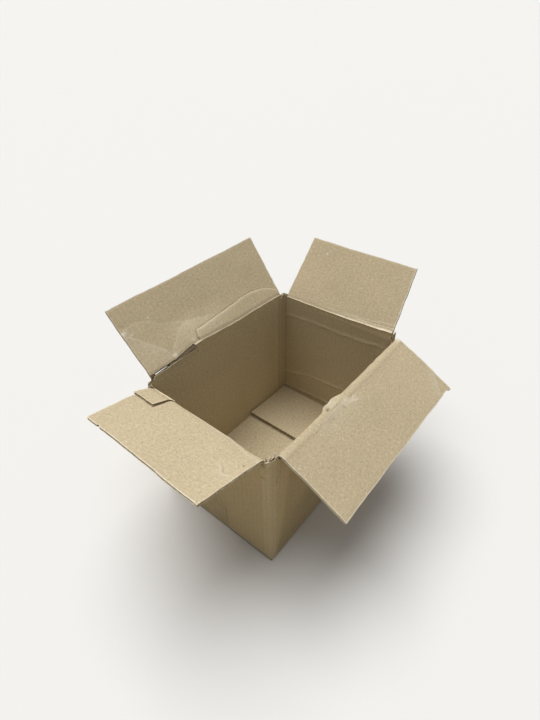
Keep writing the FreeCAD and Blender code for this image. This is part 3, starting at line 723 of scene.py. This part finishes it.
def flapCore(sheets, name, flap):
    # the wavy paper between the liners, and the crushed board along the cut edges
    middle, liner = board["thick"] / 2, board["liner"]
    share = np.arange(0.002, 0.998, 1 / (2 * flap["half"] / board["pitch"] * 8))
    d = spread(9.0, flap["depth"] - 0.3, 7.5, (0.0, 0.8, 2.0))[:, None]
    sheet = flapSurface(name, flap, share, d, middle, "middle")[0]
    pressed = 1 - 0.34 * bell((flap["depth"] - d) / 2.4)
    wave = pressed * waveSwing * flute(sheet[..., 0])
    upper, lower = (shifted(sheet, 2, wave + half) for half in (board["medium"] / 2, -board["medium"] / 2))
    # the wavy paper is paler near the free edge and carries a little painted shade
    sheets.shell(upper, lower, (sheet[..., 0], sheet[..., 1], 3.0), 0.25 * (pressed < 0.9), 0.1,
                 (wavy, wavy, torn), flap)
    # the plugs along the cut sides and the free edge are paler, partly worn paper and partly a painted
    # highlight; the free edge's plug also carries a little painted shade
    level = np.linspace(-1, 1, 5)[:, None]
    d = np.linspace(3.5, flap["depth"] - 1.2, 60)
    for end, inset in zip((0.0, 1.0), flap["edgeFill"]):
        base = flapSurface(name, flap, end, d, middle, "middle")[0]
        inward = 1 if end == 0 else -1
        ragged = 0.25 * softNoise(base[:, 1], 0, 3.0, flap["seed"] + 8)
        grid = base + 0 * level[..., None]
        grid[..., 0] += inward * (inset + 0.35 * (1 - level * level) + ragged)
        grid[..., 2] += level * (middle - liner) * np.where(d < 6, 0.6, 1.0)
        pair = [grid, shifted(grid, 0, inward * 0.6)][::inward]
        sheets.shell(*pair, (grid[..., 1], grid[..., 2], grid[..., 0]), 0.3, 0.0, (torn, torn, torn), flap)
    base = flapSurface(name, flap, np.linspace(0.004, 0.996, 130), flap["depth"] - 1.1, middle, "middle")[0]
    grid = base + 0 * level[..., None]
    grid[..., 1] += 0.25 * softNoise(base[:, 0], 0, 3.0, flap["seed"] + 10)
    grid[..., 2] += level * (middle - liner - 0.3)
    sheets.shell(grid, shifted(grid, 1, -0.5), (grid[..., 0], grid[..., 2], grid[..., 1]), 0.35, 0.1,
                 (torn, torn, torn), flap)


def foldCore(sheets, flap):
    # the crushed board inside the fold, left out where the fold is slit
    low, high = -flap["half"] + flap["low"][0] + 0.4, flap["half"] - flap["high"][0] - 0.4
    if flap["angle"] < 0:
        wallSide = [(-0.9, -1.2), (-1.1, -7.4)]
    else:
        wallSide = [(-0.6, -1.0), (-2.2, -5.0) if flap["angle"] < steep else (-3.3, -4.0)]
    u = np.linspace(flap["slit"][1] + 1.5 if "slit" in flap else low, high, 70)
    tear, level = valueAt(flap["torn"], u), 0 * u
    stops, buckled = foldStops(flap, u), valley(flap, u)[2]
    stops[1:, 1] -= 3.4 * tear * (flap["angle"] > steep)
    ring = [toFlap(flap, (out + 0.62, up - 0.35)) for out, up in stops[1:]]
    ring += [np.array([8.6 + level, board["thick"] - flap["crush"] * 0.2 - 0.75 + 0.9 * buckled]),
             np.array([8.6 + level, 0.55 + 0.5 * buckled]), np.array([1.2 + level, 0.5 + level])]
    ring += [toFlap(flap, (out + level, up + level)) for out, up in wallSide]
    # u runs down the rows, and the last column closes the ring
    core = across(u[:, None], np.array(ring + ring[:1]).transpose(2, 0, 1))
    middle = core[:, :-1].mean(1, keepdims=True)
    # painted shade on the crushed core, darkest where the fold is torn open
    sheets.shell(core, middle + (core - middle) * 0.03, (core[..., 1], core[..., 2], core[..., 0]), 0.0,
                 0.3 + 0.62 * (tear > 0.9)[:, None], (torn, torn, torn), flap)


def hang(piece):
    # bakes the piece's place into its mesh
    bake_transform(piece)


def buildFlap(name):
    flap = flaps[name]
    sheets = Sheets()
    innerLiner(sheets, name, flap)
    outerLiner(sheets, name, flap)
    flapCore(sheets, name, flap)
    foldCore(sheets, flap)
    if "slit" in flap:
        tornLiner(sheets, flap)
    piece = sheets.piece(name + "Flap", boardPaints)
    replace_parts(piece, flap["node"])
    hang(piece)


for flapName in flaps:
    buildFlap(flapName)
print("top flaps made")


def onBox(sheets, name, sharp=40):
    piece = sheets.piece(name, boardPaints, sharp)
    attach(piece, "box")
    return piece


def ringColumns():
    # the walls seen from above: the middle of each corner's rounding, the outward direction, the
    # wall's name, the place along it, the length run so far and whether a flap hangs there
    halfX, halfY, inset = case["length"] / 2, case["width"] / 2, case["outerRound"]
    walls = (("front", 0, -1, halfX, halfY), ("right", 1, 0, halfY, halfX),
             ("back", 0, 1, halfX, halfY), ("left", -1, 0, halfY, halfX))
    quarter = math.pi / 2
    columns, run = [], 0.0
    for number, (name, nx, ny, half, distance) in enumerate(walls):
        flap, span = flaps[name], half - inset
        low, high = -flap["half"] + flap["low"][0], flap["half"] - flap["high"][0]
        forward = 1 if name in ("front", "right") else -1
        if forward > 0:
            low, high = -high, -low
        steps = list(np.linspace(-span, span, int(2 * span / case["cell"]) + 1))
        steps += [end + side for end in (low, high) for side in (-0.08, 0.08)]
        for step in sorted(set(step for step in steps if -span <= step <= span), reverse=forward < 0):
            centre = (step, ny * (distance - inset)) if nx == 0 else (nx * (distance - inset), step)
            columns.append({"centre": centre, "normal": (nx, ny), "wall": name, "along": step,
                            "run": run + forward * step + span, "flap": low <= step <= high})
        run += 2 * span
        for share in np.linspace(0, 1, 8)[1:-1]:
            angle = math.atan2(ny, nx) + share * quarter
            columns.append({"centre": columns[-1]["centre"], "normal": (math.cos(angle), math.sin(angle)),
                            "wall": "corner", "along": number, "run": run + share * quarter * inset,
                            "flap": False})
        run += quarter * inset
    return columns


def wallTops(run, along, wall, onFlap):
    # how high the outer and inner faces reach, and how far out their tops lean
    bare = ~onFlap
    ragged = 0.9 * softNoise(run, 0, 3, 71) + 0.5 * softNoise(run, 0, 1.2, 72)
    stand = np.zeros(len(run))
    for number, height in enumerate(case["stand"]):
        middle = np.mean(run[(wall == "corner") & (along == number)])
        far = np.abs(run - middle)
        far = np.minimum(far, run[-1] + run[0] - far)
        if height > case["tallStrip"]:
            stand += height * ease((4 - run + middle) / 8) * (far < 12)
        else:
            stand += height * ease((12 - far) / 6)
    slot = case["slotFloor"] + (stand + ragged * ease(stand)) * bare
    lean, drop, deep = np.zeros(len(run)), np.zeros(len(run)), np.full(len(run), board["thick"])
    for name, forward in (("front", -1), ("left", 1)):
        at, moveOut, moveUp = zip(*flaps[name]["sag"])
        here = wall == name
        lean[here] = np.interp(forward * along[here], at, moveOut)
        drop[here] = np.interp(forward * along[here], at, moveUp)
        deep[here] = case["taper"][name]
    longWall = (wall == "front") | (wall == "back")
    fold = np.where(longWall, case["longFold"], case["shortFold"]) - case["scoreGap"] + drop
    topOut, topIn = np.where(onFlap, fold, slot), np.where(onFlap, fold - deep, slot)
    start, stop = flaps["back"]["slit"]
    slit = (wall == "back") & (along > start) & (along < stop)
    topOut = np.where(slit, case["longFold"] + np.interp(along, (start, stop), (1.6, 3.0)), topOut)
    return topOut, topIn, lean


def buildCase():
    columns = ringColumns()
    sheets = Sheets()
    centre, normal, run, along, wall, onFlap = (
        np.array([column[key] for column in columns]) for key in ("centre", "normal", "run", "along",
                                                                  "wall", "flap"))
    shortWall, bare = (wall == "left") | (wall == "right"), ~onFlap
    topOut, topIn, lean = wallTops(run, along, wall, onFlap)
    base = np.where(shortWall, case["shortBase"], case["longBase"])
    level = np.linspace(0, 1, int(case["longFold"] / case["cell"]))[:, None]
    # how far every column is from the nearest upright fold
    span = np.where(shortWall, case["width"], case["length"]) / 2 - case["outerRound"]
    gap = np.where(wall == "corner", 0, np.minimum(np.abs(along + span), np.abs(along - span)))

    def face(side, top, sign, reach):
        z = base + (top - base) * level
        lift, worn, shaded = (np.zeros(z.shape) for _ in range(3))
        for name in flaps:
            here = wall == name
            marked = relief(name + side, np.broadcast_to(along[here], z[:, here].shape), z[:, here])
            lift[:, here], worn[:, here], shaded[:, here] = marked
        fade = ease((z - base) / 12) * ease((top - z) / 12)
        bow = case["warp"] * (softNoise(run, z, 95, 81) + 0.35 * softNoise(run, z, 30, 82)) * ease(gap / 20)
        ripple = case["ripple"] * flute(run)
        if side == "Outside":
            score = -0.15 * bell((gap - 5) / 3.0)
            streaks = (wall == "left") * bell((along + 8) / 22, 4) * bell((z - 46) / 22, 4)
            ripple = ripple + 0.16 * streaks * flute(run)
            # painted shade over the front wall, all but a band beside its near edge that narrows downwards,
            # and painted shade in the grooves where the flutes show through the left wall
            band = valueAt(case["paintedShadeFrom"], z)
            shaded = shaded + 0.22 * streaks * ease(0.5 + 0.8 * flute(run))
            shaded = shaded + case["paintedShade"] * (wall == "front") * ease(0.5 + (along - band) / 12)
            # paler along the bottom edge; paler on the rounded corners and a little beside the upright
            # folds, partly from wear and partly a painted highlight
            worn = worn + 0.35 * bell((z - base) / 1.6)
            worn = worn + np.where(wall == "corner", 0.1, 0.08 * bell(gap / 4.0))
        else:
            score = -0.5 * bell((gap - 3.0) / 1.2)
            # painted shade over the right wall and beside the upright folds
            shaded = shaded + case["rightShade"] * (wall == "right") + 0.25 * bell((gap - 3.0) / 1.4)
        amount = (lift + score + ripple + sign * bow) * fade
        out = reach + sign * amount + lean * ease((z - 150) / 60) * ease(gap / 16)
        points = np.stack([centre[:, 0] + normal[:, 0] * out, centre[:, 1] + normal[:, 1] * out,
                           z + 0 * out], -1)
        return points, worn, shaded

    outer, wornOut, shadedOut = face("Outside", topOut, 1, case["outerRound"])
    inner, wornIn, shadedIn = face("Inside", topIn, -1, case["innerRound"])
    rings = []
    for points, worn, shaded, kind in ((outer, wornOut, shadedOut, outside),
                                       (inner, wornIn, shadedIn, shadedWallInside)):
        ids = sheets.addPoints(points, (run, points[..., 2], 20.0 * kind), worn, shaded)
        ids = np.hstack([ids, ids[:, :1]])
        corners = (ids[:-1, :-1], ids[:-1, 1:], ids[1:, 1:], ids[1:, :-1])
        sheets.addFaces(corners if kind == outside else corners[::-1], kind)
        rings.append(ids)
    outerIds, innerIds = rings
    sheets.addFaces((outerIds[0, 1:], outerIds[0, :-1], innerIds[0, :-1], innerIds[0, 1:]), torn)
    # over the top: a plain bevel under each flap, and an open pit between the liners at the corners
    edge = board["liner"] / board["thick"]
    rim = [outerIds[-1]]
    for share, down in ((edge, 0.0), (edge + 0.02, 1.0), (1 - edge - 0.02, 1.0), (1 - edge, 0.0)):
        points = outer[-1] * (1 - share) + inner[-1] * share
        points[:, 2] -= case["pit"] * down * bare
        # painted shade down the pit walls, dark on the torn part of the back wall's top, a little on the
        # other bevels; the bare tops are paler
        dark = np.where(bare, 0.55 * down, np.where((wall == "back") & (along < -60), 0.7, 0.15))
        ids = sheets.addPoints(points, (run, 10.0 * share, 55.0), 0.25 * bare * (1 - down), dark)
        rim.append(np.append(ids, ids[0]))
    rim.append(innerIds[-1])
    for number, (a, b) in enumerate(zip(rim, rim[1:])):
        sheets.addFaces((a[:-1], a[1:], b[1:], b[:-1]), torn if number in (0, 4) else wavy)
    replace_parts(onBox(sheets, "caseWalls", 50), "box_body")


def buildCornerFlutes():
    # the wavy paper that the slots at the corners lay bare
    columns = ringColumns()
    sheets = Sheets()
    rows = np.linspace(0, 1, 6)[:, None]
    for number, height in enumerate(case["stand"]):
        spot = [k for k, column in enumerate(columns)
                if column["wall"] == "corner" and column["along"] == number]
        first, last = spot[0], spot[-1]
        while first > 0 and not columns[first - 1]["flap"]:
            first -= 1
        while last + 1 < len(columns) and not columns[last + 1]["flap"]:
            last += 1
        part = columns[first:last + 1]
        runs = np.array([column["run"] for column in part])
        run = np.arange(runs[0], runs[-1], 0.45)
        centre = [np.interp(run, runs, [column["centre"][axis] for column in part]) for axis in (0, 1)]
        angles = np.unwrap([math.atan2(column["normal"][1], column["normal"][0]) for column in part])
        angle = np.interp(run, runs, angles)
        wave = waveSwing * np.sin(2 * math.pi * (run - runs[0])
                                  / (4.4 if height > case["tallStrip"] else 6.2) + number)
        if height > case["tallStrip"]:
            bend = np.mean([columns[k]["run"] for k in spot])
            top = case["slotFloor"] - 0.5 + height * ease((4 - run + bend) / 8)
        else:
            top = case["slotFloor"] + 0.75 * height * ease(np.minimum(run - runs[0], runs[-1] - run) / 3)
        top = top + 0.5 * softNoise(run, 0, 2.0, 500 + number) - 0.3
        z = (top - case["pit"] - 1.4) * (1 - rows) + top * rows
        grids = []
        for sign in (1, -1):
            reach = case["outerRound"] - board["thick"] / 2 + wave + sign * board["medium"] / 2
            x, y = centre[0] + np.cos(angle) * reach, centre[1] + np.sin(angle) * reach
            grids.append(np.stack([x + 0 * z, y + 0 * z, z], -1))
        # paler at the torn top, and painted shade deepening down into the pit
        sheets.shell(*grids, (run, z, 3.0), 0.35 * rows ** 3, 0.45 * (1 - rows), (wavy, wavy, torn))
    onBox(sheets, "cornerFlutes")


buildCase()
buildCornerFlutes()
print("walls made")

# The four flaps that close the bottom: lift is how far the free edge stands up, the painted shade how
# much the board is darkened to stand in for shade, base how high the flap's underside lies.
bottom = {
    "frontBottomFlap": {"lift": 0.0, "fold": (0, -104, 0), "turn": 0, "half": 146.0, "base": 0.0,
                        "seed": 51},
    "backBottomFlap": {"lift": 0.0, "fold": (0, 104, 0), "turn": 180, "half": 146.0, "base": 0.0,
                       "seed": 52},
    "rightBottomFlap": {"lift": 3.0, "paintedShade": 0.34, "fold": (147, 0, 4.2), "turn": 90, "half": 98.5,
                        "base": 4.2, "seed": 53},
    "leftBottomFlap": {"lift": 0.8, "fold": (-147, 0, 4.2), "turn": -90, "half": 98.5, "base": 4.2,
                       "seed": 54},
}
bottomDepth = 103.5
# where a raised free edge starts to rise, and over what length
raisedFrom, raisedOver = 55.0, 48.0


def offsetCurve(curve, thick):
    # the same line, thick lower
    step = np.gradient(curve, axis=0)
    step /= np.linalg.norm(step, axis=1)[:, None]
    return curve + thick * np.stack([step[:, 1], -step[:, 0]], -1)


def buildBottomFlap(name):
    flap = bottom[name]
    place = {"angle": 0, "turn": flap["turn"], "fold": flap["fold"]}
    thick, liner, bend = board["thick"], board["liner"], case["bottomRound"]
    half, seed = flap["half"], flap["seed"]
    sheets = Sheets()
    u = np.linspace(-half, half, int(2 * half / 2.4))
    wallTop = (case["longBase"] if flap["base"] == 0 else case["shortBase"]) - flap["base"]
    under = [(0.0, wallTop + 0.05)]
    under += [(bend - bend * math.cos(a), bend - bend * math.sin(a))
              for a in np.linspace(0, math.pi / 2, 7)]
    under += [(d, 0.0) for d in np.linspace(bend, bottomDepth, 40)[1:]]
    over = [(thick, max(wallTop, thick) + 0.3), (thick + 0.1, thick + 0.05)]
    over += [(d, thick) for d in np.linspace(thick + 1, bottomDepth, 46)]

    def raised(d):
        return flap["lift"] * ease((d - raisedFrom) / raisedOver)

    def swept(profile, thickness, firstSeed, waves):
        profile = np.array(profile)
        grid = across(u, np.broadcast_to(profile[:, None], (len(profile), len(u), 2))).copy()
        ragged = 0.25 * softNoise(grid[..., 0], 0, 9, firstSeed)
        grid[..., 1] += (grid[..., 1] > bottomDepth - 0.01) * ragged
        other = grid.copy()
        other[..., 1:] += (offsetCurve(profile, thickness) - profile)[:, None]
        swell = softNoise(grid[..., 0], grid[..., 1], 40, firstSeed + 1)
        lift = waves * ease((grid[..., 1] - 6) / 20) * swell + raised(grid[..., 1])
        return shifted(grid, 2, lift), shifted(other, 2, lift)

    top, lower = swept(over, liner, seed, 0.1)
    worn = 0.3 * bell((bottomDepth - top[..., 1]) / 1.2)
    # painted shade at the foot of the wall and, where given, over the board, darkest towards the fold;
    # painted dark along the free edge for the shade beneath it
    shaded = 0.5 * bell((top[..., 1] - thick) / 1.6)
    if "paintedShade" in flap:
        worn = 0.0
        paintedShade = flap["paintedShade"] * (1 - 0.75 * ease(top[..., 1] / bottomDepth))
        shaded += paintedShade + 0.7 * (top[..., 1] > bottomDepth - 0.9)
    sheets.shell(top, lower, (top[..., 0], top[..., 1], 60.0 + seed), worn, shaded, (inside, wavy, torn),
                 place)
    low, high = swept(under, -liner, seed + 3, 0.0)
    sheets.shell(high, low, (low[..., 0], low[..., 1], 80.0 + seed), 0.3 * bell((low[..., 1] - 1.0) / 1.6),
                 0.0, (wavy, outside, torn), place)

    def upright(u, d, low, high, shape):
        # a small grid that stands on or lies in the board
        grid = np.empty((*shape, 3))
        grid[..., 0], grid[..., 1] = u, d
        grid[0, :, 2], grid[1, :, 2] = low, high
        return grid

    # the wavy paper between the liners, painted with shade
    waveU = np.linspace(-half, half, int(2 * half / board["pitch"] * 8))
    grid = np.empty((8, len(waveU), 3))
    grid[..., 0], grid[..., 1] = waveU, np.linspace(6, bottomDepth - 0.4, 8)[:, None]
    grid[..., 2] = thick / 2 + waveSwing * flute(waveU) + board["medium"] / 2 + raised(grid[..., 1])
    sheets.shell(grid, shifted(grid, 2, -board["medium"]), (grid[..., 0], grid[..., 1], 3.0), 0.0, 0.55,
                 (wavy, wavy, torn), place)
    # a plug between the liners just in from the free edge, painted dark to stand in for the shade in the
    # gap
    stop = upright(np.linspace(-half + 1, half - 1, 60), bottomDepth - 1.6, liner + flap["lift"],
                   thick - liner + flap["lift"], (2, 60))
    sheets.shell(shifted(stop, 1, -0.5), stop, (stop[..., 0], stop[..., 2], stop[..., 1]), 0.0, 0.8,
                 (torn, torn, torn), place)
    d = np.linspace(4.2, bottomDepth - 1, 40)
    for end in (-1, 1):
        wall = upright(end * (half - 0.5), d, liner + raised(d), thick - liner + raised(d), (2, 40))
        pair = [wall, shifted(wall, 0, -end * 0.5)][::-end]
        sheets.shell(*pair, (wall[..., 1], wall[..., 2], wall[..., 0]), 0.2, 0.0, (torn, torn, torn), place)
    onBox(sheets, name)


for bottomName in bottom:
    buildBottomFlap(bottomName)
print("bottom flaps made")

tab = {"low": 54.0, "high": 103.0, "thick": 3.0, "bottom": 8.6, "top": 202.6,
       "endLow": 54.0, "endHigh": 91.0, "endStart": 3.4, "endReach": 30.4, "bend": (-3.0, 6.0),
       "stops": [(-7.1, -9.0), (-6.8, -6.0), (-5.6, -2.6), (-3.6, 0.6), (-1.2, 3.9)]}


def buildTab():
    sheets = Sheets()
    y, z = np.meshgrid(np.linspace(tab["low"], tab["high"], 26), np.linspace(tab["bottom"], tab["top"], 84))
    wallFace = -case["length"] / 2 + board["thick"]
    swell = 0.35 * softNoise(y, z, 22, 91) + 0.06 * flute(y)
    front = np.stack([wallFace + (tab["thick"] + swell) * (ease((y - tab["low"]) / 3) * 0.7 + 0.3), y, z],
                     -1)
    back = np.stack([np.full(y.shape, wallFace - 0.4), y, z], -1)
    front[:, 0, 1] += 0.5 * softNoise(z[:, 0], 0, 4, 92)
    sheets.shell(front, back, (y, z, 140.0), 0.3 * bell((y - tab["low"]) / 1.5), 0.0, (inside, wavy, torn))
    onBox(sheets, "gluedTab")


def buildTabEnd():
    # over the fold from the tab inside the wall, then flat on the left flap
    flap, thick, start, reach = flaps["left"], board["thick"], tab["endStart"], tab["endReach"]
    length, width = reach - start, tab["endHigh"] - tab["endLow"]
    sheets = Sheets()
    u = np.linspace(tab["endLow"], tab["endHigh"], 40)
    wide, out = np.meshgrid(u, np.linspace(0, 1, 30))
    d = start + out * length
    share = (wide - tab["endLow"]) / width
    skew = wide + 1.2 * softNoise(d, 0, 3.2, 93) * ease((share - 0.8) / 0.2) * (0.4 + out)
    skew = skew + 0.4 * softNoise(d, 0, 5, 94) * ease((0.1 - share) / 0.1)
    far = d + 0.5 * softNoise(wide, 0, 6, 95) * ease((out - 0.9) / 0.1)
    far = far - 1.5 * share * ease((out - 0.8) / 0.2)
    lift = 0.5 * out + 0.5 * (1 - share) * out + 0.15 * softNoise(wide, d, 9, 96)
    press = 1.8 * (1 - ease(d / 9))
    flat = np.stack([skew, far, thick + tab["thick"] + lift - press], -1)
    stops = [[a + 0 * u, b + 0.3 * softNoise(u, 0, 8, 97)] for a, b in tab["stops"]]
    rows = threaded(np.array(stops + [fromFlap(flap, flat[0, :, 1], flat[0, :, 2])]), 3)[:-1]
    bent = np.stack([toFlap(flap, row).T for row in rows])
    high = np.vstack([across(skew[0], bent), flat])
    edge = 0.25 * bell(np.minimum(share, 1 - share) * width / 1.2) + 0.35 * bell((1 - out) * length / 1.2)
    rim = np.vstack([np.broadcast_to(edge[:1], bent.shape[:2]), edge])
    sheets.shell(high, beneath(high, board["liner"], len(high)), (high[..., 0], high[..., 1] + 300, 150.0),
                 rim, 0.0, (inside, wavy, torn), flap)
    # the underside and the wavy paper of the tab's end carry painted shade
    low = np.stack([skew, far, thick + 0.35 + lift * 0.8 - 0.4 * press], -1)
    sheets.shell(shifted(low, 2, board["liner"]), low, (wide, d + 300, 160.0), edge * 0.3, 0.25,
                 (wavy, outside, torn), flap)
    waveU = np.linspace(tab["endLow"] + 0.6, tab["endHigh"] - 1.0, 46)
    outs = np.linspace(0.05, 0.975, 6)[:, None]
    share = (waveU - tab["endLow"]) / width
    middle = thick + 0.2 + tab["thick"] / 2 + (0.5 + 0.5 * (1 - share)) * outs
    grid = np.stack(np.broadcast_arrays(waveU, start + outs * (length - 1.5 * share),
                                        middle + (tab["thick"] / 2 - 0.8) * flute(waveU)), -1)
    sheets.shell(shifted(grid, 2, 0.15), shifted(grid, 2, -0.15), (grid[..., 0], grid[..., 1], 3.0), 0.0,
                 0.45, (wavy, wavy, torn), flap)
    # the closed board behind the cut side and the cut end, painted dark to stand in for the shade in the
    # cut
    side = np.linspace(start + 1, reach - 1.5, 24)
    end = np.linspace(tab["endLow"] + 1, tab["endHigh"] - 1.5, 24)
    for u, d, amount, axis in ((tab["endLow"] + 1.2, side, (side - start) / length, 0),
                               (end, reach - 3.2 - 1.5 * (end - tab["endLow"]) / width, 0.9, 1)):
        wall = np.empty((2, 24, 3))
        wall[..., 0], wall[..., 1] = u, d
        wall[0, :, 2] = thick + 0.6 + 0.6 * amount
        wall[1, :, 2] = thick + tab["thick"] - 0.6 + 0.6 * amount
        sheets.shell(wall, shifted(wall, axis, 0.5 - axis), (wall[..., 1], wall[..., 2], wall[..., 0]), 0.0,
                     0.7, (wavy, wavy, wavy), flap)
    piece = sheets.piece("tabEnd", boardPaints)
    hang(piece)


buildTab()
buildTabEnd()
print("glued tab made")

tape = {"half": 24.0, "lap": 50.0, "film": 0.1}


def buildTape():
    # one film under the seam and up both short walls, pressed on with small wrinkles
    halfX = case["length"] / 2
    sheets = Sheets()
    path = [(-halfX - 0.02, z) for z in np.linspace(tape["lap"], 8.5, 26)]
    path += [(-halfX + 0.9, 5.0), (-halfX + 1.1, 3.0), (-halfX + 1.2, 1.2), (-halfX + 2.0, 0.15)]
    path += [(x, -0.0) for x in np.linspace(-halfX + 4, 0, 56)]
    path = np.array(path + [(-x, z) for x, z in path[-2::-1]])
    x, z = path[:, :1], path[:, 1:]
    y = np.linspace(-tape["half"], tape["half"], 49)
    length = np.concatenate([[0], np.cumsum(np.linalg.norm(np.diff(path, axis=0), axis=1))])[:, None]
    ragged = 0.3 * softNoise(length, 0, 14, 61) * np.sign(y) * (np.abs(y) > tape["half"] - 0.5)
    grid = np.stack(np.broadcast_arrays(x, y + ragged, z), -1)
    wrinkle = 0.05 * (1 + softNoise(length, y, 5, 62)) + 0.12 * flute(y + 1.0) * ease((z - 12) / 20)
    out = tape["film"] + (0.12 + wrinkle) * ease((z - 8) / 6)
    above = shifted(grid, 0, np.sign(x) * out * (z > 0.5))
    above[..., 2] += (z > tape["lap"] - 1) * 0.5 * softNoise(y, 0, 3, 63)
    under = shifted(grid, 2, np.where(z < 0.5, 0.1, 0))
    sheets.shell(under, above, (length, y, 0.0), 0.0, 0.0, (0, 0, 0))
    piece = sheets.piece("bottomTape", [tapeMaterial()])
    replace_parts(piece, "bottom_tape")
    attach(piece, "box")


buildTape()
print("tape made")

# Torn paper at the corners: how wide each shred is, and the points it runs through on the box.
shreds = [
    (3.2, [(-146, -103, 205), (-145, -100.5, 210), (-141, -99, 212), (-138.5, -100, 209.5),
           (-141, -101, 208)]),
    (3.4, [(-138, -104, 205), (-136, -103.5, 210), (-133.5, -102, 214), (-133, -100.5, 211),
           (-134, -101, 208.5)]),
    (2.6, [(-143, -101, 205), (-141.5, -101.5, 209.5), (-138.5, -102, 211), (-136, -101.5, 208)]),
    (3.0, [(-146.5, -98, 204), (-147.5, -99.5, 207.5), (-146, -101.5, 209), (-144, -101, 207)]),
    (2.8, [(144, -102, 205), (146, -101.5, 210), (147.5, -99.5, 212), (146, -98.5, 209.5)]),
    (3.0, [(143.5, -99, 205), (145.5, -98.5, 209), (146.8, -97, 210.5), (144.5, -96.5, 208)]),
    (2.6, [(136, 103, 205), (138, 102, 210), (141, 101.5, 212), (143, 102, 209.5)]),
    (2.6, [(143, 101, 205), (144.5, 101.5, 209.5), (146.5, 100, 212), (145.5, 98, 210)]),
    (2.2, [(146, 96, 205), (146.5, 97, 209), (144.5, 98.5, 211), (143.5, 97.5, 209)]),
    (3.0, [(-142, 103.5, 205), (-141, 103, 210), (-143.5, 101.5, 212.5), (-145, 101, 210)]),
    (3.2, [(-146, 100, 204), (-147, 98, 209), (-146, 95.5, 212), (-144, 95, 210)]),
]


def buildShreds():
    sheets = Sheets()
    wide = np.linspace(-0.5, 0.5, 5)
    for number, (width, points) in enumerate(shreds, 1):
        points = smoothed(points, 3)
        tangent = np.gradient(points, axis=0)
        tangent /= np.linalg.norm(tangent, axis=1)[:, None]
        side = np.cross(tangent, [0.3, 0.2, 1.0])
        side /= np.linalg.norm(side, axis=1)[:, None]
        side = np.cross(side, tangent) * 0.45 + side
        normal = np.cross(tangent, side)
        normal = (normal / np.linalg.norm(normal, axis=1)[:, None])[:, None]
        length = np.linspace(0, 1, len(points))
        width = width * (1 - 0.55 * length) * (1 + 0.25 * softNoise(length * 20, 0, 2, 300 + number))
        grid = points[:, None] + side[:, None] * (width[:, None] * wide)[..., None]
        grid = grid + 0.5 * (wide ** 2 * 4)[None, :, None] * normal
        sheets.shell(grid, grid - 0.3 * normal, (length[:, None] * 15, wide * 4, 200.0 + number), 0.25, 0.0,
                     (torn, wavy, torn))
    onBox(sheets, "tornCorners", 60)


buildShreds()
print("torn corners made")

stage = {"floor": (0.80, 0.79, 0.77), "floorBounce": (0.44, 0.39, 0.31), "backdrop": (0.896, 0.888, 0.863),
         "worldLight": 0.25, "sun": 2.86, "sunFrom": (0.07, 0.25, 1.0), "sunWidth": 50, "reach": 60.0,
         "drop": 0.0004}


def seenDirectly(tree):
    path = added(tree, "ShaderNodeLightPath").outputs
    either = maths(tree, "MAXIMUM", path["Is Camera Ray"], path["Is Glossy Ray"])
    return maths(tree, "MAXIMUM", either, path["Is Transmission Ray"])


def buildStage():
    mesh = bpy.data.meshes.new("floor")
    far, low = stage["reach"], -stage["drop"]
    mesh.from_pydata([(-far, -far, low), (far, -far, low), (far, far, low), (-far, far, low)], [],
                     [(0, 1, 2, 3)])
    ground = bpy.data.objects.new("floor", mesh)
    bpy.context.scene.collection.objects.link(ground)
    material, tree, shader = newMaterial("paleFloor")
    color = mixed(tree, seenDirectly(tree), (*stage["floorBounce"], 1), (*stage["floor"], 1))
    given(tree, shader, {"Base Color": color, "Roughness": 0.9, "Specular IOR Level": 0.1})
    mesh.materials.append(material)

    world = bpy.data.worlds.new("studio")
    bpy.context.scene.world = world
    world.use_nodes = True
    tree = world.node_tree
    light = given(tree, tree.nodes["Background"], {"Color": (1, 1, 1, 1), "Strength": stage["worldLight"]})
    pale = added(tree, "ShaderNodeBackground", {"Color": (*stage["backdrop"], 1), "Strength": 1.0})
    either = added(tree, "ShaderNodeMixShader", {0: seenDirectly(tree), 1: light.outputs[0],
                                                 2: pale.outputs[0]})
    given(tree, tree.nodes["World Output"], {"Surface": either.outputs[0]})

    lamp = bpy.data.lights.new("softKey", "SUN")
    lamp.energy = stage["sun"]
    lamp.angle = math.radians(stage["sunWidth"])
    key = bpy.data.objects.new("softKey", lamp)
    bpy.context.scene.collection.objects.link(key)
    key.rotation_mode = "QUATERNION"
    key.rotation_quaternion = Vector(stage["sunFrom"]).to_track_quat("Z", "Y")


buildStage()
print("floor and light made")

view = {"azimuth": -50.26, "elevation": 38.78, "roll": -1.04, "distance": 639.0, "right": -11.3, "up": -2.7,
        "focus": 463.0, "pictureHeight": 720.0, "height": 213.0, "sensor": 36.0}


def buildCamera():
    a, e, r = (math.radians(view[key]) for key in ("azimuth", "elevation", "roll"))
    back = np.array([math.sin(a) * math.cos(e), -math.cos(a) * math.cos(e), math.sin(e)])
    right = np.array([math.cos(a), math.sin(a), 0.0])
    up = np.cross(back, right)
    place = np.array([0, 0, view["height"]]) + back * view["distance"]
    place = place + right * view["right"] + up * view["up"]
    turned = (math.cos(r) * right + math.sin(r) * up, -math.sin(r) * right + math.cos(r) * up, back,
              place * mm)
    data = bpy.data.cameras.new("camera")
    data.sensor_fit = "VERTICAL"
    data.sensor_height = view["sensor"]
    data.lens = view["sensor"] * view["focus"] / view["pictureHeight"]
    data.clip_end = 200
    camera = bpy.data.objects.new("camera", data)
    bpy.context.scene.collection.objects.link(camera)
    camera.matrix_world = Matrix([*np.array(turned).T.tolist(), (0, 0, 0, 1)])
    bpy.context.scene.camera = camera


buildCamera()
bpy.context.scene.view_settings.view_transform = "Standard"
print("camera made")
